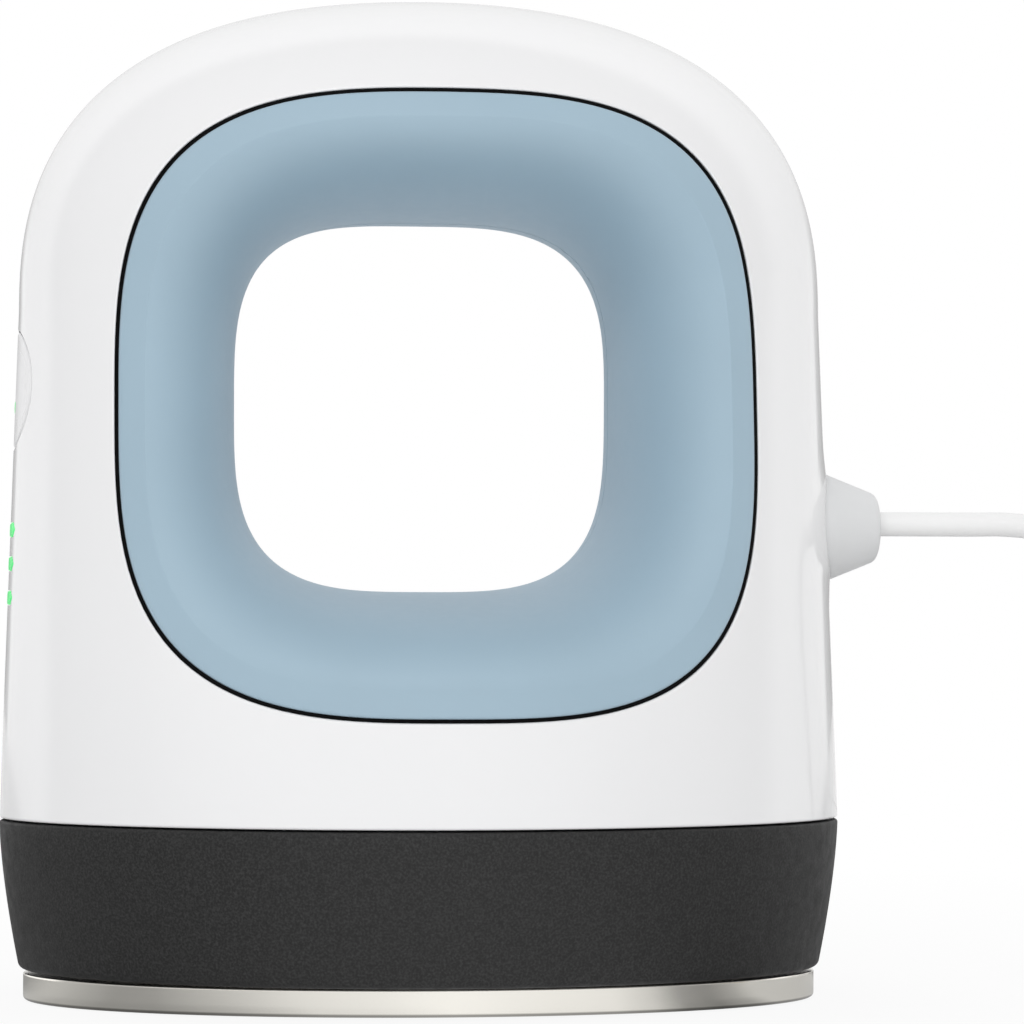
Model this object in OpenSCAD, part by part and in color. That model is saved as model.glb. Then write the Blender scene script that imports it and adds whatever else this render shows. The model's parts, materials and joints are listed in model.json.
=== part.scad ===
// Mini handheld heat press: a pointed oval hot plate under an upright shell with a finger hole.
// Frame: +X towards the cord, +Y to the rear, +Z up, origin on the table under the middle.

/* [Body] */
// Height of the press above the table
body_h = 103.5; // [98:0.5:115]
// Length of the shell along its lower edge
seam_len = 87.6; // [84:0.2:96]
// Depth of the shell along its lower edge
seam_depth = 63; // [60:0.5:70]
// Length of the shell where its top starts to round over
shoulder_len = 84; // [80:0.2:92]
// Depth of the shell where its top starts to round over
shoulder_depth = 48; // [44:0.5:54]
// Height at which the ends start to round over
end_dome_z = 71; // [66:0.5:76]
// Height at which the front and rear start to round over
face_dome_z = 74.5; // [72:0.5:80]
// Height of the seam between shell and skirt
seam_z = 18.5; // [17:0.1:20]
// Wall of the shell
shell_wall = 2.2; // [1.6:0.1:2.8]
// Roundness of the plan outline: 2 is an ellipse, less is more pointed
plan_n = 1.9; // [1.8:0.05:2.2]
// Roundness of the domed top
dome_n = 2.5; // [2.2:0.05:3]

/* [Finger hole and grips] */
// Width of the finger hole at its narrowest
throat_w = 39.4; // [36:0.2:41]
// Height of the finger hole at its narrowest
throat_h = 38.6; // [36:0.2:41]
// Height of the middle of the finger hole
throat_z = 61.4; // [60:0.1:63]
// Squareness of the finger hole
throat_n = 3.4; // [2.6:0.1:4]
// Width of the window in the shell that a grip fills
window_w = 65.2; // [63:0.2:67]
// Height of the window in the shell
window_h = 63.2; // [61:0.2:65]
// Height of the middle of the window
window_z = 60.6; // [60:0.1:62]
// Squareness of the window
window_n = 3.2; // [2.8:0.05:3.6]
// Width of the seal line round a grip
seal_w = 0.4; // [0.3:0.05:0.8]
// Depth of the seal under the surface
seal_recess = 0.3; // [0.1:0.05:0.6]
// Flat band along the rim of a grip
band_w = 2.6; // [1.8:0.1:3.4]
// Wall of a grip
grip_wall = 2.2; // [1.6:0.1:2.6]
// Flange of a grip behind the shell
flange_w = 2; // [1:0.1:2.5]
// Thickness of that flange
flange_t = 1.2; // [0.8:0.1:1.6]
// Width of the ring that carries both grips
ring_w = 5; // [4:0.5:6]
// Thickness of that ring
ring_t = 2.6; // [2:0.1:3.2]

/* [Hot plate] */
// Length of the hot plate
plate_len = 82.55; // [78:0.25:83]
// Depth of the hot plate
plate_depth = 48.8; // [46:0.2:52]
// Thickness of the hot plate under the skirt
plate_t = 2.8; // [2.4:0.1:3]
// Length of the neck that rises from the plate
neck_len = 68; // [66:0.5:70]
// Depth of the neck
neck_depth = 35; // [34:0.5:36]
// Top of the neck above the table
neck_top = 6.2; // [5.8:0.1:7]
// Length of the heater stack on the neck
stack_len = 43; // [40:0.5:44]
// Depth of the heater stack
stack_depth = 30; // [28:0.5:31]
// Thickness of the heating element
element_t = 1.2; // [0.8:0.1:1.6]
// Thickness of the insulation mat
mat_t = 2; // [1.5:0.1:2.5]
// Thickness of the clamp plate
clamp_t = 0.8; // [0.6:0.1:1.2]
// Height of the heat shield above the table
shield_z = 14; // [13:0.1:15]
// Thickness of the heat shield
shield_t = 0.6; // [0.4:0.1:1]
// Length of the heat shield
shield_len = 70; // [66:0.5:72]
// Depth of the heat shield
shield_depth = 32; // [30:0.5:32]

/* [Skirt and chassis] */
// Underside of the skirt above the table
skirt_z = 3.2; // [3.1:0.1:4]
// How far the skirt draws in towards its underside
skirt_draw = 2.1; // [1:0.1:2.3]
// Floor of the skirt
skirt_floor = 2; // [1.5:0.1:2.5]
// Wall of the skirt
skirt_wall = 3; // [2.6:0.1:3.2]
// Height of the skirt's lip inside the shell
lip_h = 2.3; // [1.8:0.1:2.4]
// Thickness of that lip
lip_t = 1.6; // [1.2:0.1:2]
// Thickness of the chassis floor
chassis_t = 2.2; // [1.8:0.1:3]
// Spacing of the chassis posts along the length
post_x = 40; // [38:0.5:41]
// Spacing of the chassis posts front to rear
post_y = 39.2; // [38.5:0.1:40]
// Diameter of the chassis posts
post_d = 6; // [5.5:0.1:6.2]
// Spacing of the plate spacers along the length
spacer_x = 52; // [51:0.5:53]
// Spacing of the plate spacers front to rear
spacer_y = 14; // [13:0.5:15]
// Diameter of the plate spacers
spacer_d = 7; // [6:0.1:7.4]
// Diameter of the plate screws
screw_d = 2.9; // [2.5:0.1:3.2]

/* [Electronics] */
// Length of the control board
board_len = 39; // [36:0.5:39.5]
// Depth of the control board
board_depth = 28; // [26:0.5:30]
// Thickness of the boards
board_t = 1.6; // [1.2:0.1:2]
// Gap under the control board
board_gap = 4; // [3:0.1:4.5]
// Height of the tallest part on the control board
part_h = 7; // [6:0.1:7.2]
// Width of the switch board
switch_board_w = 16; // [15:0.1:17]
// Height of the switch board
switch_board_h = 34; // [33:0.5:38]

/* [Power button] */
// Diameter of the power button
button_d = 12; // [10:0.1:13]
// Height of the middle of the button
button_z = 62.9; // [62:0.1:66]
// Height of the button's light under its middle
light_drop = 1.8; // [1.5:0.1:3.5]
// Travel of the button
button_travel = 0.5; // [0.3:0.05:0.6]
// Diameter of the button's stem
stem_d = 4; // [3:0.1:5]
// Diameter of the light in the button
button_light_d = 1.5; // [1:0.1:2]
// Length of a status light
bar_w = 6.8; // [4:0.1:8]
// Height of a status light
bar_h = 1.4; // [1:0.05:1.8]
// Spacing of the status lights
bar_pitch = 3.5; // [3:0.1:4]
// Height of the middle status light
bar_z = 44.9; // [44.5:0.1:46]

/* [Cord] */
// Diameter of the cord
cord_d = 2.6; // [2.4:0.1:3]
// Height of the cord's outlet
outlet_z = 49; // [48:0.1:50]
// Large diameter of the strain relief
relief_d = 11.4; // [9:0.1:12]
// Small diameter of the strain relief
relief_tip_d = 7.6; // [6:0.1:8.5]
// How far the strain relief stands out of the shell
relief_len = 5.5; // [4.5:0.1:6.2]
// Diameter of the coil through the middle of its turns
coil_d = 31; // [30:0.5:34]
// Width and height of the bundle of turns
bundle = 11; // [10:0.1:12]
// Length of the plug's body
plug_len = 24; // [22:0.5:28]
// Width of the plug's body
plug_w = 22; // [20:0.5:24]
// Height of the plug's body
plug_h = 12; // [11:0.5:14]
// Spacing of the plug's blades
blade_pitch = 12.7; // [12.5:0.1:13]
// Length of the plug's blades
blade_len = 16.5; // [15.5:0.1:17.5]
// Width of the plug's blades
blade_w = 6.35; // [6.1:0.05:6.6]
// Thickness of the plug's blades
blade_t = 1.5; // [1.4:0.05:1.7]

/* [Clearances] */
// Gap along the seam between shell and skirt
seam_gap = 0.2; // [0.1:0.05:0.4]
// Gap between pieces that lie side by side
side_gap = 0.3; // [0.2:0.05:0.4]
// Radial clearance of a running fit
run_fit = 0.05; // [0.02:0.01:0.1]
// Radial clearance of a screw in its hole
hole_fit = 0.15; // [0.1:0.05:0.25]

/* [Hidden] */

$fn = 48;
ring_pts = 72;

// ---- Outlines ----

// A point of a superellipse with half sizes a and b at the angle t
function oval_point(a, b, n, t) = [
    a * sign(cos(t)) * pow(abs(cos(t)), 2 / n),
    b * sign(sin(t)) * pow(abs(sin(t)), 2 / n)];
function oval(a, b, n, count = ring_pts) =
    [for (i = [0 : count - 1]) oval_point(a, b, n, i * 360 / count)];

// Share of a width that is left at height z, under a dome from z0 to top
function dome(z, z0, top) =
    z <= z0 ? 1 : pow(max(0, 1 - pow((z - z0) / (top - z0), dome_n)), 1 / dome_n);
function slope(z, z0, low, high) = low + (high - low) * (min(z, z0) - seam_z) / (z0 - seam_z);

// Half length and half depth of the body at height z, drawn in by inset
function half_len(z, inset = 0) =
    (slope(z, end_dome_z, seam_len, shoulder_len) / 2 - inset)
    * dome(z, end_dome_z, body_h - inset);
function half_dep(z, inset = 0) =
    (slope(z, face_dome_z, seam_depth, shoulder_depth) / 2 - inset)
    * dome(z, face_dome_z, body_h - inset);

// How far the front face lies from the middle plane at x and z, and an end at y and z
function face_y(x, z, inset = 0) = half_dep(z, inset)
    * pow(max(0, 1 - pow(abs(x) / half_len(z, inset), plan_n)), 1 / plan_n);
function end_x(y, z, inset = 0) = half_len(z, inset)
    * pow(max(0, 1 - pow(abs(y) / half_dep(z, inset), plan_n)), 1 / plan_n);

// Window and throat outlines in the X-Z plane, grown by g
function window_point(t, g) =
    [0, window_z] + oval_point(window_w / 2 + g, window_h / 2 + g, window_n, t);
function throat_point(t, g) =
    [0, throat_z] + oval_point(throat_w / 2 + g, throat_h / 2 + g, throat_n, t);

// ---- Swept tubes and closed loops ----

function unit(v) = v / norm(v);
function along(path, i) =
    unit(path[min(i + 1, len(path) - 1)] - path[max(i - 1, 0)]);
function tube_ring(p, t, r, sides) = let (u = unit(cross(t, [1, 1, 0.02])), v = cross(t, u))
    [for (j = [0 : sides - 1]) p + r * (cos(j * 360 / sides) * u + sin(j * 360 / sides) * v)];
function tube_faces(rows, cols) = [for (i = [0 : rows - 1], j = [0 : cols - 1])
    let (a = i * cols + j, b = i * cols + (j + 1) % cols)
    each [[a, a + cols, b + cols], [a, b + cols, b]]];

module tube(path, d, sides = 8) {
    last = len(path) - 1;
    rings = [for (i = [0 : last]) each tube_ring(path[i], along(path, i), d / 2, sides)];
    polyhedron(rings, concat(
        [[for (j = [0 : sides - 1]) j]],
        tube_faces(last, sides),
        [[for (j = [sides - 1 : -1 : 0]) last * sides + j]]));
}

// A closed band round a window: each loop holds one point for every step round it
module band(loops) {
    count = len(loops);
    points = [for (l = loops) each l];
    faces = [for (k = [0 : count - 1], i = [0 : ring_pts - 1])
        let (a = k * ring_pts + i, b = k * ring_pts + (i + 1) % ring_pts,
             up = ((k + 1) % count - k) * ring_pts)
        each [[a, b + up, b], [a, a + up, b + up]]];
    polyhedron(points, faces);
}

// ---- Small shapes ----

module at_corners(dx, dy) {
    for (sx = [-1, 1], sy = [-1, 1]) translate([sx * dx / 2, sy * dy / 2, 0]) children();
}

module rod_x(x0, x1, d, y = 0, z = 0) {
    translate([x0, y, z]) rotate([0, 90, 0]) cylinder(h = x1 - x0, d = d);
}

module block(x0, x1, y0, y1, z0, z1) {
    translate([x0, y0, z0]) cube([x1 - x0, y1 - y0, z1 - z0]);
}

module slab(a, b, n, z0, z1) {
    translate([0, 0, z0]) linear_extrude(z1 - z0) polygon(oval(a, b, n));
}

// A pan-head screw that points down from the seat at z, its head in proportion to its thread
head_wide = 1.85;
head_high = 0.62;
module screw_down(z, tip, d) {
    translate([0, 0, z]) cylinder(h = d * head_high, d = d * head_wide);
    translate([0, 0, tip]) cylinder(h = z - tip, d = d);
}

// ---- Body solids ----

dome_steps = [0, 15, 30, 45, 58, 70, 80, 88];
function levels(z0, inset) = concat([z0, (seam_z + end_dome_z) / 2],
    [for (a = dome_steps) end_dome_z + (body_h - inset - end_dome_z) * sin(a)]);
function level_ring(z, inset) =
    [for (p = oval(half_len(z, inset), half_dep(z, inset), plan_n)) [p.x, p.y, z]];

// The solid between two level outlines
module between(low, high) {
    n = len(low);
    hull() polyhedron(concat(low, high), [[for (i = [0 : n - 1]) i],
        [for (i = [0 : n - 1]) n + i]]);
}

module body_solid(z0, inset) {
    z = levels(z0, inset);
    for (i = [0 : len(z) - 2]) between(level_ring(z[i], inset), level_ring(z[i + 1], inset));
}

// ---- Places ----

shell_z = seam_z + seam_gap;
shell_in = shell_wall;
chassis_z = seam_z + lip_h + seam_gap;
chassis_top = chassis_z + chassis_t;
board_z = chassis_top + board_gap;
board_top = board_z + board_t;
element_top = neck_top + element_t;
mat_top = element_top + mat_t;
clamp_top = mat_top + clamp_t;
shield_top = shield_z + shield_t;

// Button stack, from the shell's inner face towards the switch board, as distances from X = 0
flange_r = button_d / 2 + 0.9;
flange_out = end_x(flange_r, button_z, shell_in) - side_gap;
button_flange_t = 0.8;
flange_in = flange_out - button_flange_t;
guide_t = 1;
guide_out = flange_in - button_travel - side_gap;
guide_in = guide_out - guide_t;
plunger_out = guide_in - 0.4;
switch_h = 3.5;
plunger_rise = button_travel + 0.3;
switch_out = plunger_out - plunger_rise;
switch_in = switch_out - switch_h;
switch_board_t = 1.2;
switch_board_in = switch_in - switch_board_t;
switch_board_z = button_z + 8.5 - switch_board_h;
rail_t = 1.6;
plunger_d = 3.3;

// Strain relief, from the inside outwards
relief_x = half_len(outlet_z);
relief_tip = relief_x + relief_len;
relief_flange_r = relief_d / 2 + 1.2;
relief_flange = end_x(relief_flange_r, outlet_z, shell_in) - side_gap;
relief_in = relief_flange - 3;

// Cord tower and the frame's legs
tower_w = 5;
tower_y = 9;
tower_x = relief_in - tower_w - 1.8;
clamp_z = outlet_z - cord_d / 2;
jacket_end = tower_x - 1.8;
leg_w = 4;
frame_fit = 0.25;
leg_out = throat_w / 2 + grip_wall + frame_fit + ring_t;
leg_x = leg_out - leg_w / 2;

// Snap hooks between skirt and shell
hook_x = 20;
hook_w = 4;
hook_reach = 0.6;

// ---- Hot plate and its stack ----

stack_screw_x = 28;
stack_screw_y = 14;
stack_screw_d = 2.8;
stack_bite = 2.8;
plate_bite = 3.8;
bite_spare = 0.2;

module heat_plate() {
    color("silver") difference() {
        union() {
            slab(plate_len / 2, plate_depth / 2, 2, 0, plate_t);
            slab(neck_len / 2, neck_depth / 2, 2, plate_t, neck_top);
        }
        at_corners(spacer_x, spacer_y) translate([0, 0, neck_top - plate_bite - bite_spare])
            cylinder(h = neck_top, d = screw_d + 2 * run_fit);
        at_corners(stack_screw_x, stack_screw_y)
            translate([0, 0, neck_top - stack_bite - bite_spare])
                cylinder(h = neck_top, d = stack_screw_d + 2 * run_fit);
    }
}

// A layer of the heater stack with its four screw holes
module stack_layer(z0, z1, drawn_in) {
    difference() {
        slab(stack_len / 2 - drawn_in, stack_depth / 2 - drawn_in, 2, z0, z1);
        at_corners(stack_screw_x, stack_screw_y)
            translate([0, 0, z0 - 1]) cylinder(h = z1 - z0 + 2, d = stack_screw_d + 2 * hole_fit);
    }
}

module heating_element() {
    color("sandybrown") stack_layer(neck_top, element_top, 0.4);
}

module insulation_mat() {
    color("ivory") stack_layer(element_top, mat_top, 0.2);
}

module clamp_plate() {
    color("lightsteelblue") stack_layer(mat_top, clamp_top, 0);
}

module clamp_screws() {
    color("gray") at_corners(stack_screw_x, stack_screw_y)
        screw_down(clamp_top, neck_top - stack_bite, stack_screw_d);
}

module spacers(z0, z1) {
    at_corners(spacer_x, spacer_y) translate([0, 0, z0]) difference() {
        cylinder(h = z1 - z0, d = spacer_d);
        translate([0, 0, -1]) cylinder(h = z1 - z0 + 2, d = screw_d + 2 * hole_fit);
    }
}

module lower_spacers() {
    color("white") spacers(neck_top, shield_z);
}

module upper_spacers() {
    color("white") spacers(shield_top, chassis_z);
}

// Thermal cutout and temperature sensor on the clamp plate
cutout_d = 10;
sensor_x = 10.5;
sensor_hole_x = sensor_x + 2;
sensor_hole_d = 3;

module heat_shield() {
    color("lightgray") difference() {
        slab(shield_len / 2, shield_depth / 2, 2, shield_z, shield_top);
        at_corners(spacer_x, spacer_y)
            translate([0, 0, shield_z - 1]) cylinder(h = 3, d = screw_d + 2 * hole_fit);
        translate([0, 0, shield_z - 1]) cylinder(h = 3, d = cutout_d + 4 * side_gap);
        translate([sensor_hole_x, 0, shield_z - 1]) cylinder(h = 3, d = sensor_hole_d);
    }
}

module plate_screws() {
    color("gray") at_corners(spacer_x, spacer_y)
        screw_down(chassis_top, neck_top - plate_bite, screw_d);
}

module thermal_cutout() {
    color("dimgray") translate([0, 0, clamp_top]) {
        cylinder(h = 1, d = cutout_d + 1);
        translate([0, 0, 1]) cylinder(h = 4.2, d = cutout_d);
        for (s = [-1, 1]) translate([s * 2.5 - 0.4, -1.5, 5.2]) cube([0.8, 3, 1.6]);
    }
}

module temperature_sensor() {
    color("peru") translate([sensor_x, 0, clamp_top]) {
        translate([-2, -1.5, 0]) cube([4, 3, 0.6]);
        translate([0, 0, 0.6]) cylinder(h = 1.6, d = 2.4);
    }
}

// ---- Skirt ----

skirt_edge = 0.6;
skirt_top = seam_z;
post_screw_d = screw_d - 0.6;
post_bite = 9;
function skirt_in(z) = skirt_draw * pow(max(0, seam_z - z) / (seam_z - skirt_z), 1.5);
function skirt_ring(z, inset) = [for (p = oval(seam_len / 2 - skirt_in(z) - inset,
    seam_depth / 2 - skirt_in(z) - inset, plan_n)) [p.x, p.y, z]];

module skirt_solid(z0, z1, inset) {
    mid = (z0 + z1) / 2;
    between(skirt_ring(z0, inset), skirt_ring(mid, inset));
    between(skirt_ring(mid, inset), skirt_ring(z1, inset));
}

module base_skirt() {
    floor_top = skirt_z + skirt_floor;
    color("dimgray") difference() {
        union() {
            difference() {
                union() {
                    skirt_solid(skirt_z + skirt_edge, skirt_top, 0);
                    between(skirt_ring(skirt_z, skirt_edge), skirt_ring(skirt_z + skirt_edge, 0));
                }
                skirt_solid(floor_top, skirt_top + 0.01, skirt_wall);
            }
            lip();
            hooks(0);
            at_corners(post_x, post_y)
                translate([0, 0, skirt_z + 1]) cylinder(h = chassis_z - skirt_z - 1, d = post_d);
        }
        slab(neck_len / 2 + 2 * side_gap, neck_depth / 2 + 2 * side_gap, 2, 0, floor_top + 1);
        at_corners(post_x, post_y)
            translate([0, 0, chassis_z - post_bite - 1])
                cylinder(h = post_bite + 2, d = post_screw_d + 2 * run_fit);
    }
}

// The lip that locates the shell on the skirt
module lip() {
    z0 = skirt_top - 4;
    z1 = skirt_top + lip_h;
    out = shell_in + side_gap;
    difference() {
        between(level_ring(z0, out), level_ring(z1, out));
        between(level_ring(z0 - 1, out + lip_t), level_ring(z1 + 1, out + lip_t));
    }
}

// Four hooks on the lip that snap into pockets in the shell
module hooks(gap) {
    y = face_y(hook_x / 2, seam_z, shell_in) - lip_t;
    for (sx = [-1, 1], sy = [-1, 1]) translate([sx * hook_x / 2, sy * y, skirt_top + lip_h / 2])
        mirror([0, sy < 0 ? 1 : 0, 0])
            block(-hook_w / 2 - gap, hook_w / 2 + gap, 0, lip_t + hook_reach + gap,
                -0.5 - gap, 0.5 + gap);
}

// ---- Chassis and boards ----

board_post_x = 33;
board_post_y = 22;
board_post_d = 4.5;
board_screw_d = 2.2;
board_bite = 3;
cord_screw_d = 2;
cord_bite = 6;
slot_w = 12;
slot_out = shield_depth / 2 + 3;
slot_in = shield_depth / 2 - 0.5;

module chassis() {
    a = half_len(chassis_z, shell_in) - 2 * side_gap;
    b = half_dep(chassis_top, shell_in) - 2 * side_gap;
    color("whitesmoke") difference() {
        union() {
            slab(a, b, plan_n, chassis_z, chassis_top);
            at_corners(board_post_x, board_post_y)
                translate([0, 0, chassis_top]) cylinder(h = board_gap, d = board_post_d);
            block(tower_x, tower_x + tower_w, -tower_y / 2, tower_y / 2,
                chassis_top, clamp_z);
        }
        at_corners(post_x, post_y) hole_down(screw_d);
        at_corners(spacer_x, spacer_y) hole_down(screw_d);
        for (s = [-1, 1]) translate([s * leg_x, 0, 0]) hole_down(frame_screw_d);
        at_corners(board_post_x, board_post_y)
            translate([0, 0, board_z - board_bite - bite_spare])
                cylinder(h = board_gap, d = board_screw_d + 2 * run_fit);
        at_cord_screws() translate([0, 0, clamp_z - cord_bite - bite_spare])
            cylinder(h = cord_bite + 1, d = cord_screw_d + 2 * run_fit);
        wire_slot();
    }
}

module hole_down(d) {
    translate([0, 0, chassis_z - 1]) cylinder(h = chassis_t + 2, d = d + 2 * hole_fit);
}

// The opening that the heater's leads pass
module wire_slot() {
    block(-slot_w / 2, slot_w / 2, -slot_out, -slot_in, chassis_z - 1, chassis_top + 1);
}

module chassis_screws() {
    color("gray") at_corners(post_x, post_y)
        screw_down(chassis_top, chassis_z - post_bite, post_screw_d);
}

module control_board() {
    color("darkgreen") difference() {
        block(-board_len / 2, board_len / 2, -board_depth / 2, board_depth / 2, board_z, board_top);
        at_corners(board_post_x, board_post_y)
            translate([0, 0, board_z - 1]) cylinder(h = board_t + 2, d = board_screw_d + 2 * hole_fit);
    }
}

module board_screws() {
    color("gray") at_corners(board_post_x, board_post_y)
        screw_down(board_top, board_z - board_bite, board_screw_d);
}

module relay() {
    color("royalblue") block(-13, -1, 0, 8, board_top, board_top + part_h);
}

module transformer() {
    color("goldenrod") {
        block(-12, -2, -11, -3, board_top, board_top + part_h - 1);
        block(-10, -4, -9, -5, board_top + part_h - 1, board_top + part_h);
    }
}

module capacitor() {
    color("black") translate([4, -7, board_top]) cylinder(h = part_h, d = 6);
}

module controller_chip() {
    color("black") block(2, 8, -2, 4, board_top, board_top + 1);
}

// Terminal block: the outer face, and the height and places of its three ways
terminal_x = 13.5;
terminal_w = 4;
terminal_z = board_top + 2.5;
terminal_y = [4.5, 7.5, 10.5];
way_d = 2.4;

module terminal_block() {
    color("green") difference() {
        block(terminal_x - terminal_w, terminal_x, terminal_y[0] - way_d, terminal_y[2] + way_d,
            board_top, board_top + part_h);
        for (y = terminal_y) rod_x(terminal_x - terminal_w / 2, terminal_x + 1, way_d, y, terminal_z);
    }
}

module board_fuse() {
    color("wheat") rod_x(8.5, 16.5, 3, -5, board_top + 2);
    color("silver") for (x = [8.5, 14.5]) block(x, x + 2, -6.5, -3.5, board_top, board_top + 0.6);
}

// ---- Frame, shell and grips ----

frame_screw_d = 2.4;
frame_bite = 5.8;
frame_head = frame_screw_d * head_high;

module throat_prism(g, y0, y1) {
    translate([0, y1, 0]) rotate([90, 0, 0]) linear_extrude(y1 - y0)
        polygon([for (i = [0 : ring_pts - 1]) throat_point(i * 360 / ring_pts, g)]);
}

module window_prism(g) {
    translate([0, seam_depth, 0]) rotate([90, 0, 0]) linear_extrude(2 * seam_depth)
        polygon([for (i = [0 : ring_pts - 1]) window_point(i * 360 / ring_pts, g)]);
}

module grip_frame() {
    inner = grip_wall + frame_fit;
    color("gainsboro") difference() {
        union() {
            throat_prism(inner + ring_t, -ring_w / 2, ring_w / 2);
            for (s = [-1, 1]) block(s * leg_x - leg_w / 2, s * leg_x + leg_w / 2,
                -ring_w / 2, ring_w / 2, chassis_top, throat_z);
        }
        throat_prism(inner, -ring_w, ring_w);
        for (s = [-1, 1]) translate([s * leg_x, 0, chassis_top - 1])
            cylinder(h = 1 + frame_bite + bite_spare, d = frame_screw_d + 2 * run_fit);
    }
}

module frame_screws() {
    color("gray") for (s = [-1, 1]) translate([s * leg_x, 0, chassis_z - frame_head]) {
        cylinder(h = frame_head, d = frame_screw_d * head_wide);
        cylinder(h = frame_head + chassis_t + frame_bite, d = frame_screw_d);
    }
}

module outer_shell() {
    color("white") difference() {
        union() {
            difference() {
                body_solid(shell_z, 0);
                body_solid(seam_z - 1, shell_in);
            }
            intersection() {
                board_rails();
                body_solid(seam_z, shell_in / 2);
            }
        }
        window_prism(0);
        rod_x(-seam_len, -switch_board_in, button_d + 2 * side_gap, 0, button_z);
        for (i = [-1 : 1]) bar(i, -seam_len, -switch_board_in, side_gap / 3);
        rod_x(relief_in, seam_len, relief_d + 2 * hole_fit, 0, outlet_z);
        hooks(side_gap);
    }
}

// Two grooved rails that hold the switch board
module board_rails() {
    groove = 0.8;
    for (s = [-1, 1]) mirror([0, s < 0 ? 1 : 0, 0]) difference() {
        block(-seam_len / 2, -switch_board_in + 1, switch_board_w / 2 - groove,
            switch_board_w / 2 + rail_t, switch_board_z + 1, switch_board_z + switch_board_h + 1);
        block(-switch_in - hole_fit, -switch_board_in + hole_fit, 0,
            switch_board_w / 2 + hole_fit, switch_board_z, switch_board_z + switch_board_h + hole_fit);
    }
}

roll_steps = [0, 12, 24, 37, 50, 63, 77];
mid_gap = 0.1;

// A point of a grip's roll from the throat, at 0 degrees, to the flat band, at 90
function roll_point(t, f, wall) = let (
    rim = window_point(t, -seal_w - band_w),
    throat = throat_point(t, wall),
    y = face_y(rim.x, rim.y) - wall,
    p = throat + (rim - throat) * (1 - cos(f)))
    [p.x, -mid_gap - (y - mid_gap) * sin(f), p.y];

// A point on or under the shell's surface, at the window's edge grown by g
function rim_point(t, g, inset, deeper) = let (p = window_point(t, g))
    [p.x, -face_y(p.x, p.y, inset) + deeper, p.y];

function full_turn(f) = [for (i = [0 : ring_pts - 1]) i * 360 / ring_pts];

module grip() {
    turn = full_turn(0);
    steps = len(roll_steps);
    edge = -seal_w - run_fit;
    band(concat(
        [for (k = [0 : steps - 1]) [for (t = turn) roll_point(t, roll_steps[k], 0)]],
        [[for (t = turn) rim_point(t, -seal_w - band_w, 0, 0)],
         [for (t = turn) rim_point(t, edge, 0, 0)],
         [for (t = turn) rim_point(t, edge, shell_in, side_gap)],
         [for (t = turn) rim_point(t, flange_w, shell_in, side_gap)],
         [for (t = turn) rim_point(t, flange_w, shell_in, side_gap + flange_t)],
         [for (t = turn) rim_point(t, edge - 1, shell_in, side_gap + flange_t)]],
        [for (k = [steps - 1 : -1 : 0]) [for (t = turn) roll_point(t, roll_steps[k], grip_wall)]]));
}

module front_grip() {
    color("lightsteelblue") grip();
}

module rear_grip() {
    color("lightsteelblue") mirror([0, 1, 0]) grip();
}

module seal() {
    turn = full_turn(0);
    band([
        [for (t = turn) rim_point(t, -seal_w, 0, seal_recess)],
        [for (t = turn) rim_point(t, -run_fit, 0, seal_recess)],
        [for (t = turn) rim_point(t, -run_fit, shell_in, 0)],
        [for (t = turn) rim_point(t, -seal_w, shell_in, 0)]]);
}

module front_seal() {
    color("black") seal();
}

module rear_seal() {
    color("black") mirror([0, 1, 0]) seal();
}

// ---- Power button and lights ----

module switch_board() {
    color("darkgreen") block(-switch_in, -switch_board_in, -switch_board_w / 2, switch_board_w / 2,
        switch_board_z, switch_board_z + switch_board_h);
}

module tact_switch() {
    half = 3;
    color("black") difference() {
        block(-switch_out, -switch_in, -half, half, button_z - half, button_z + half);
        rod_x(-switch_out - 1, -switch_out + 1.2 + button_travel, plunger_d + 2 * run_fit, 0, button_z);
    }
}

module switch_plunger() {
    color("ivory") rod_x(-plunger_out, -switch_out + 1, plunger_d, 0, button_z);
}

module button_guide() {
    half = 5.5;
    color("gainsboro") difference() {
        union() {
            block(-guide_out, -guide_in, -half, half, button_z - half, button_z + half);
            for (s = [-1, 1]) block(-guide_out, -switch_in, -half, half,
                button_z + s * (half - 0.6) - 0.6, button_z + s * (half - 0.6) + 0.6);
        }
        rod_x(-guide_out - 1, -guide_in + 1, stem_d + 2 * run_fit, 0, button_z);
    }
}

// The cap follows the shell's end, so that it stands flush with it
module power_button() {
    color("white") difference() {
        union() {
            intersection() {
                rod_x(-seam_len / 2, -flange_out, button_d, 0, button_z);
                between(level_ring(button_z - button_d, 0), level_ring(button_z + button_d / 2, 0));
            }
            rod_x(-flange_out, -flange_in, 2 * flange_r, 0, button_z);
            rod_x(-flange_in - 0.1, -plunger_out, stem_d, 0, button_z);
        }
        rod_x(-seam_len, -flange_in + 1, button_light_d + 2 * run_fit, 0, button_z - light_drop);
    }
}

module button_lens() {
    color("limegreen") rod_x(-end_x(button_light_d, button_z - light_drop), -flange_in,
        button_light_d, 0, button_z - light_drop);
}

// One status light's rod, with pointed ends, grown by g
module bar(i, x0, x1, g) {
    w = bar_w / 2 + g;
    h = bar_h / 2 + g;
    translate([x0, 0, bar_z + i * bar_pitch]) rotate([90, 0, 90]) linear_extrude(x1 - x0)
        polygon([[-w, 0], [-w + h, -h], [w - h, -h], [w, 0], [w - h, h], [-w + h, h]]);
}

led_h = 0.8;
module light_guide() {
    face = end_x(bar_w / 2, bar_z);
    back = switch_in + led_h + side_gap;
    carrier = switch_out - 1;
    color("palegreen") {
        for (i = [-1 : 1]) bar(i, -face, -back, 0);
        block(-carrier, -carrier + 1.5, -1.2, 1.2, bar_z - bar_pitch, bar_z + bar_pitch);
    }
}

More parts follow.
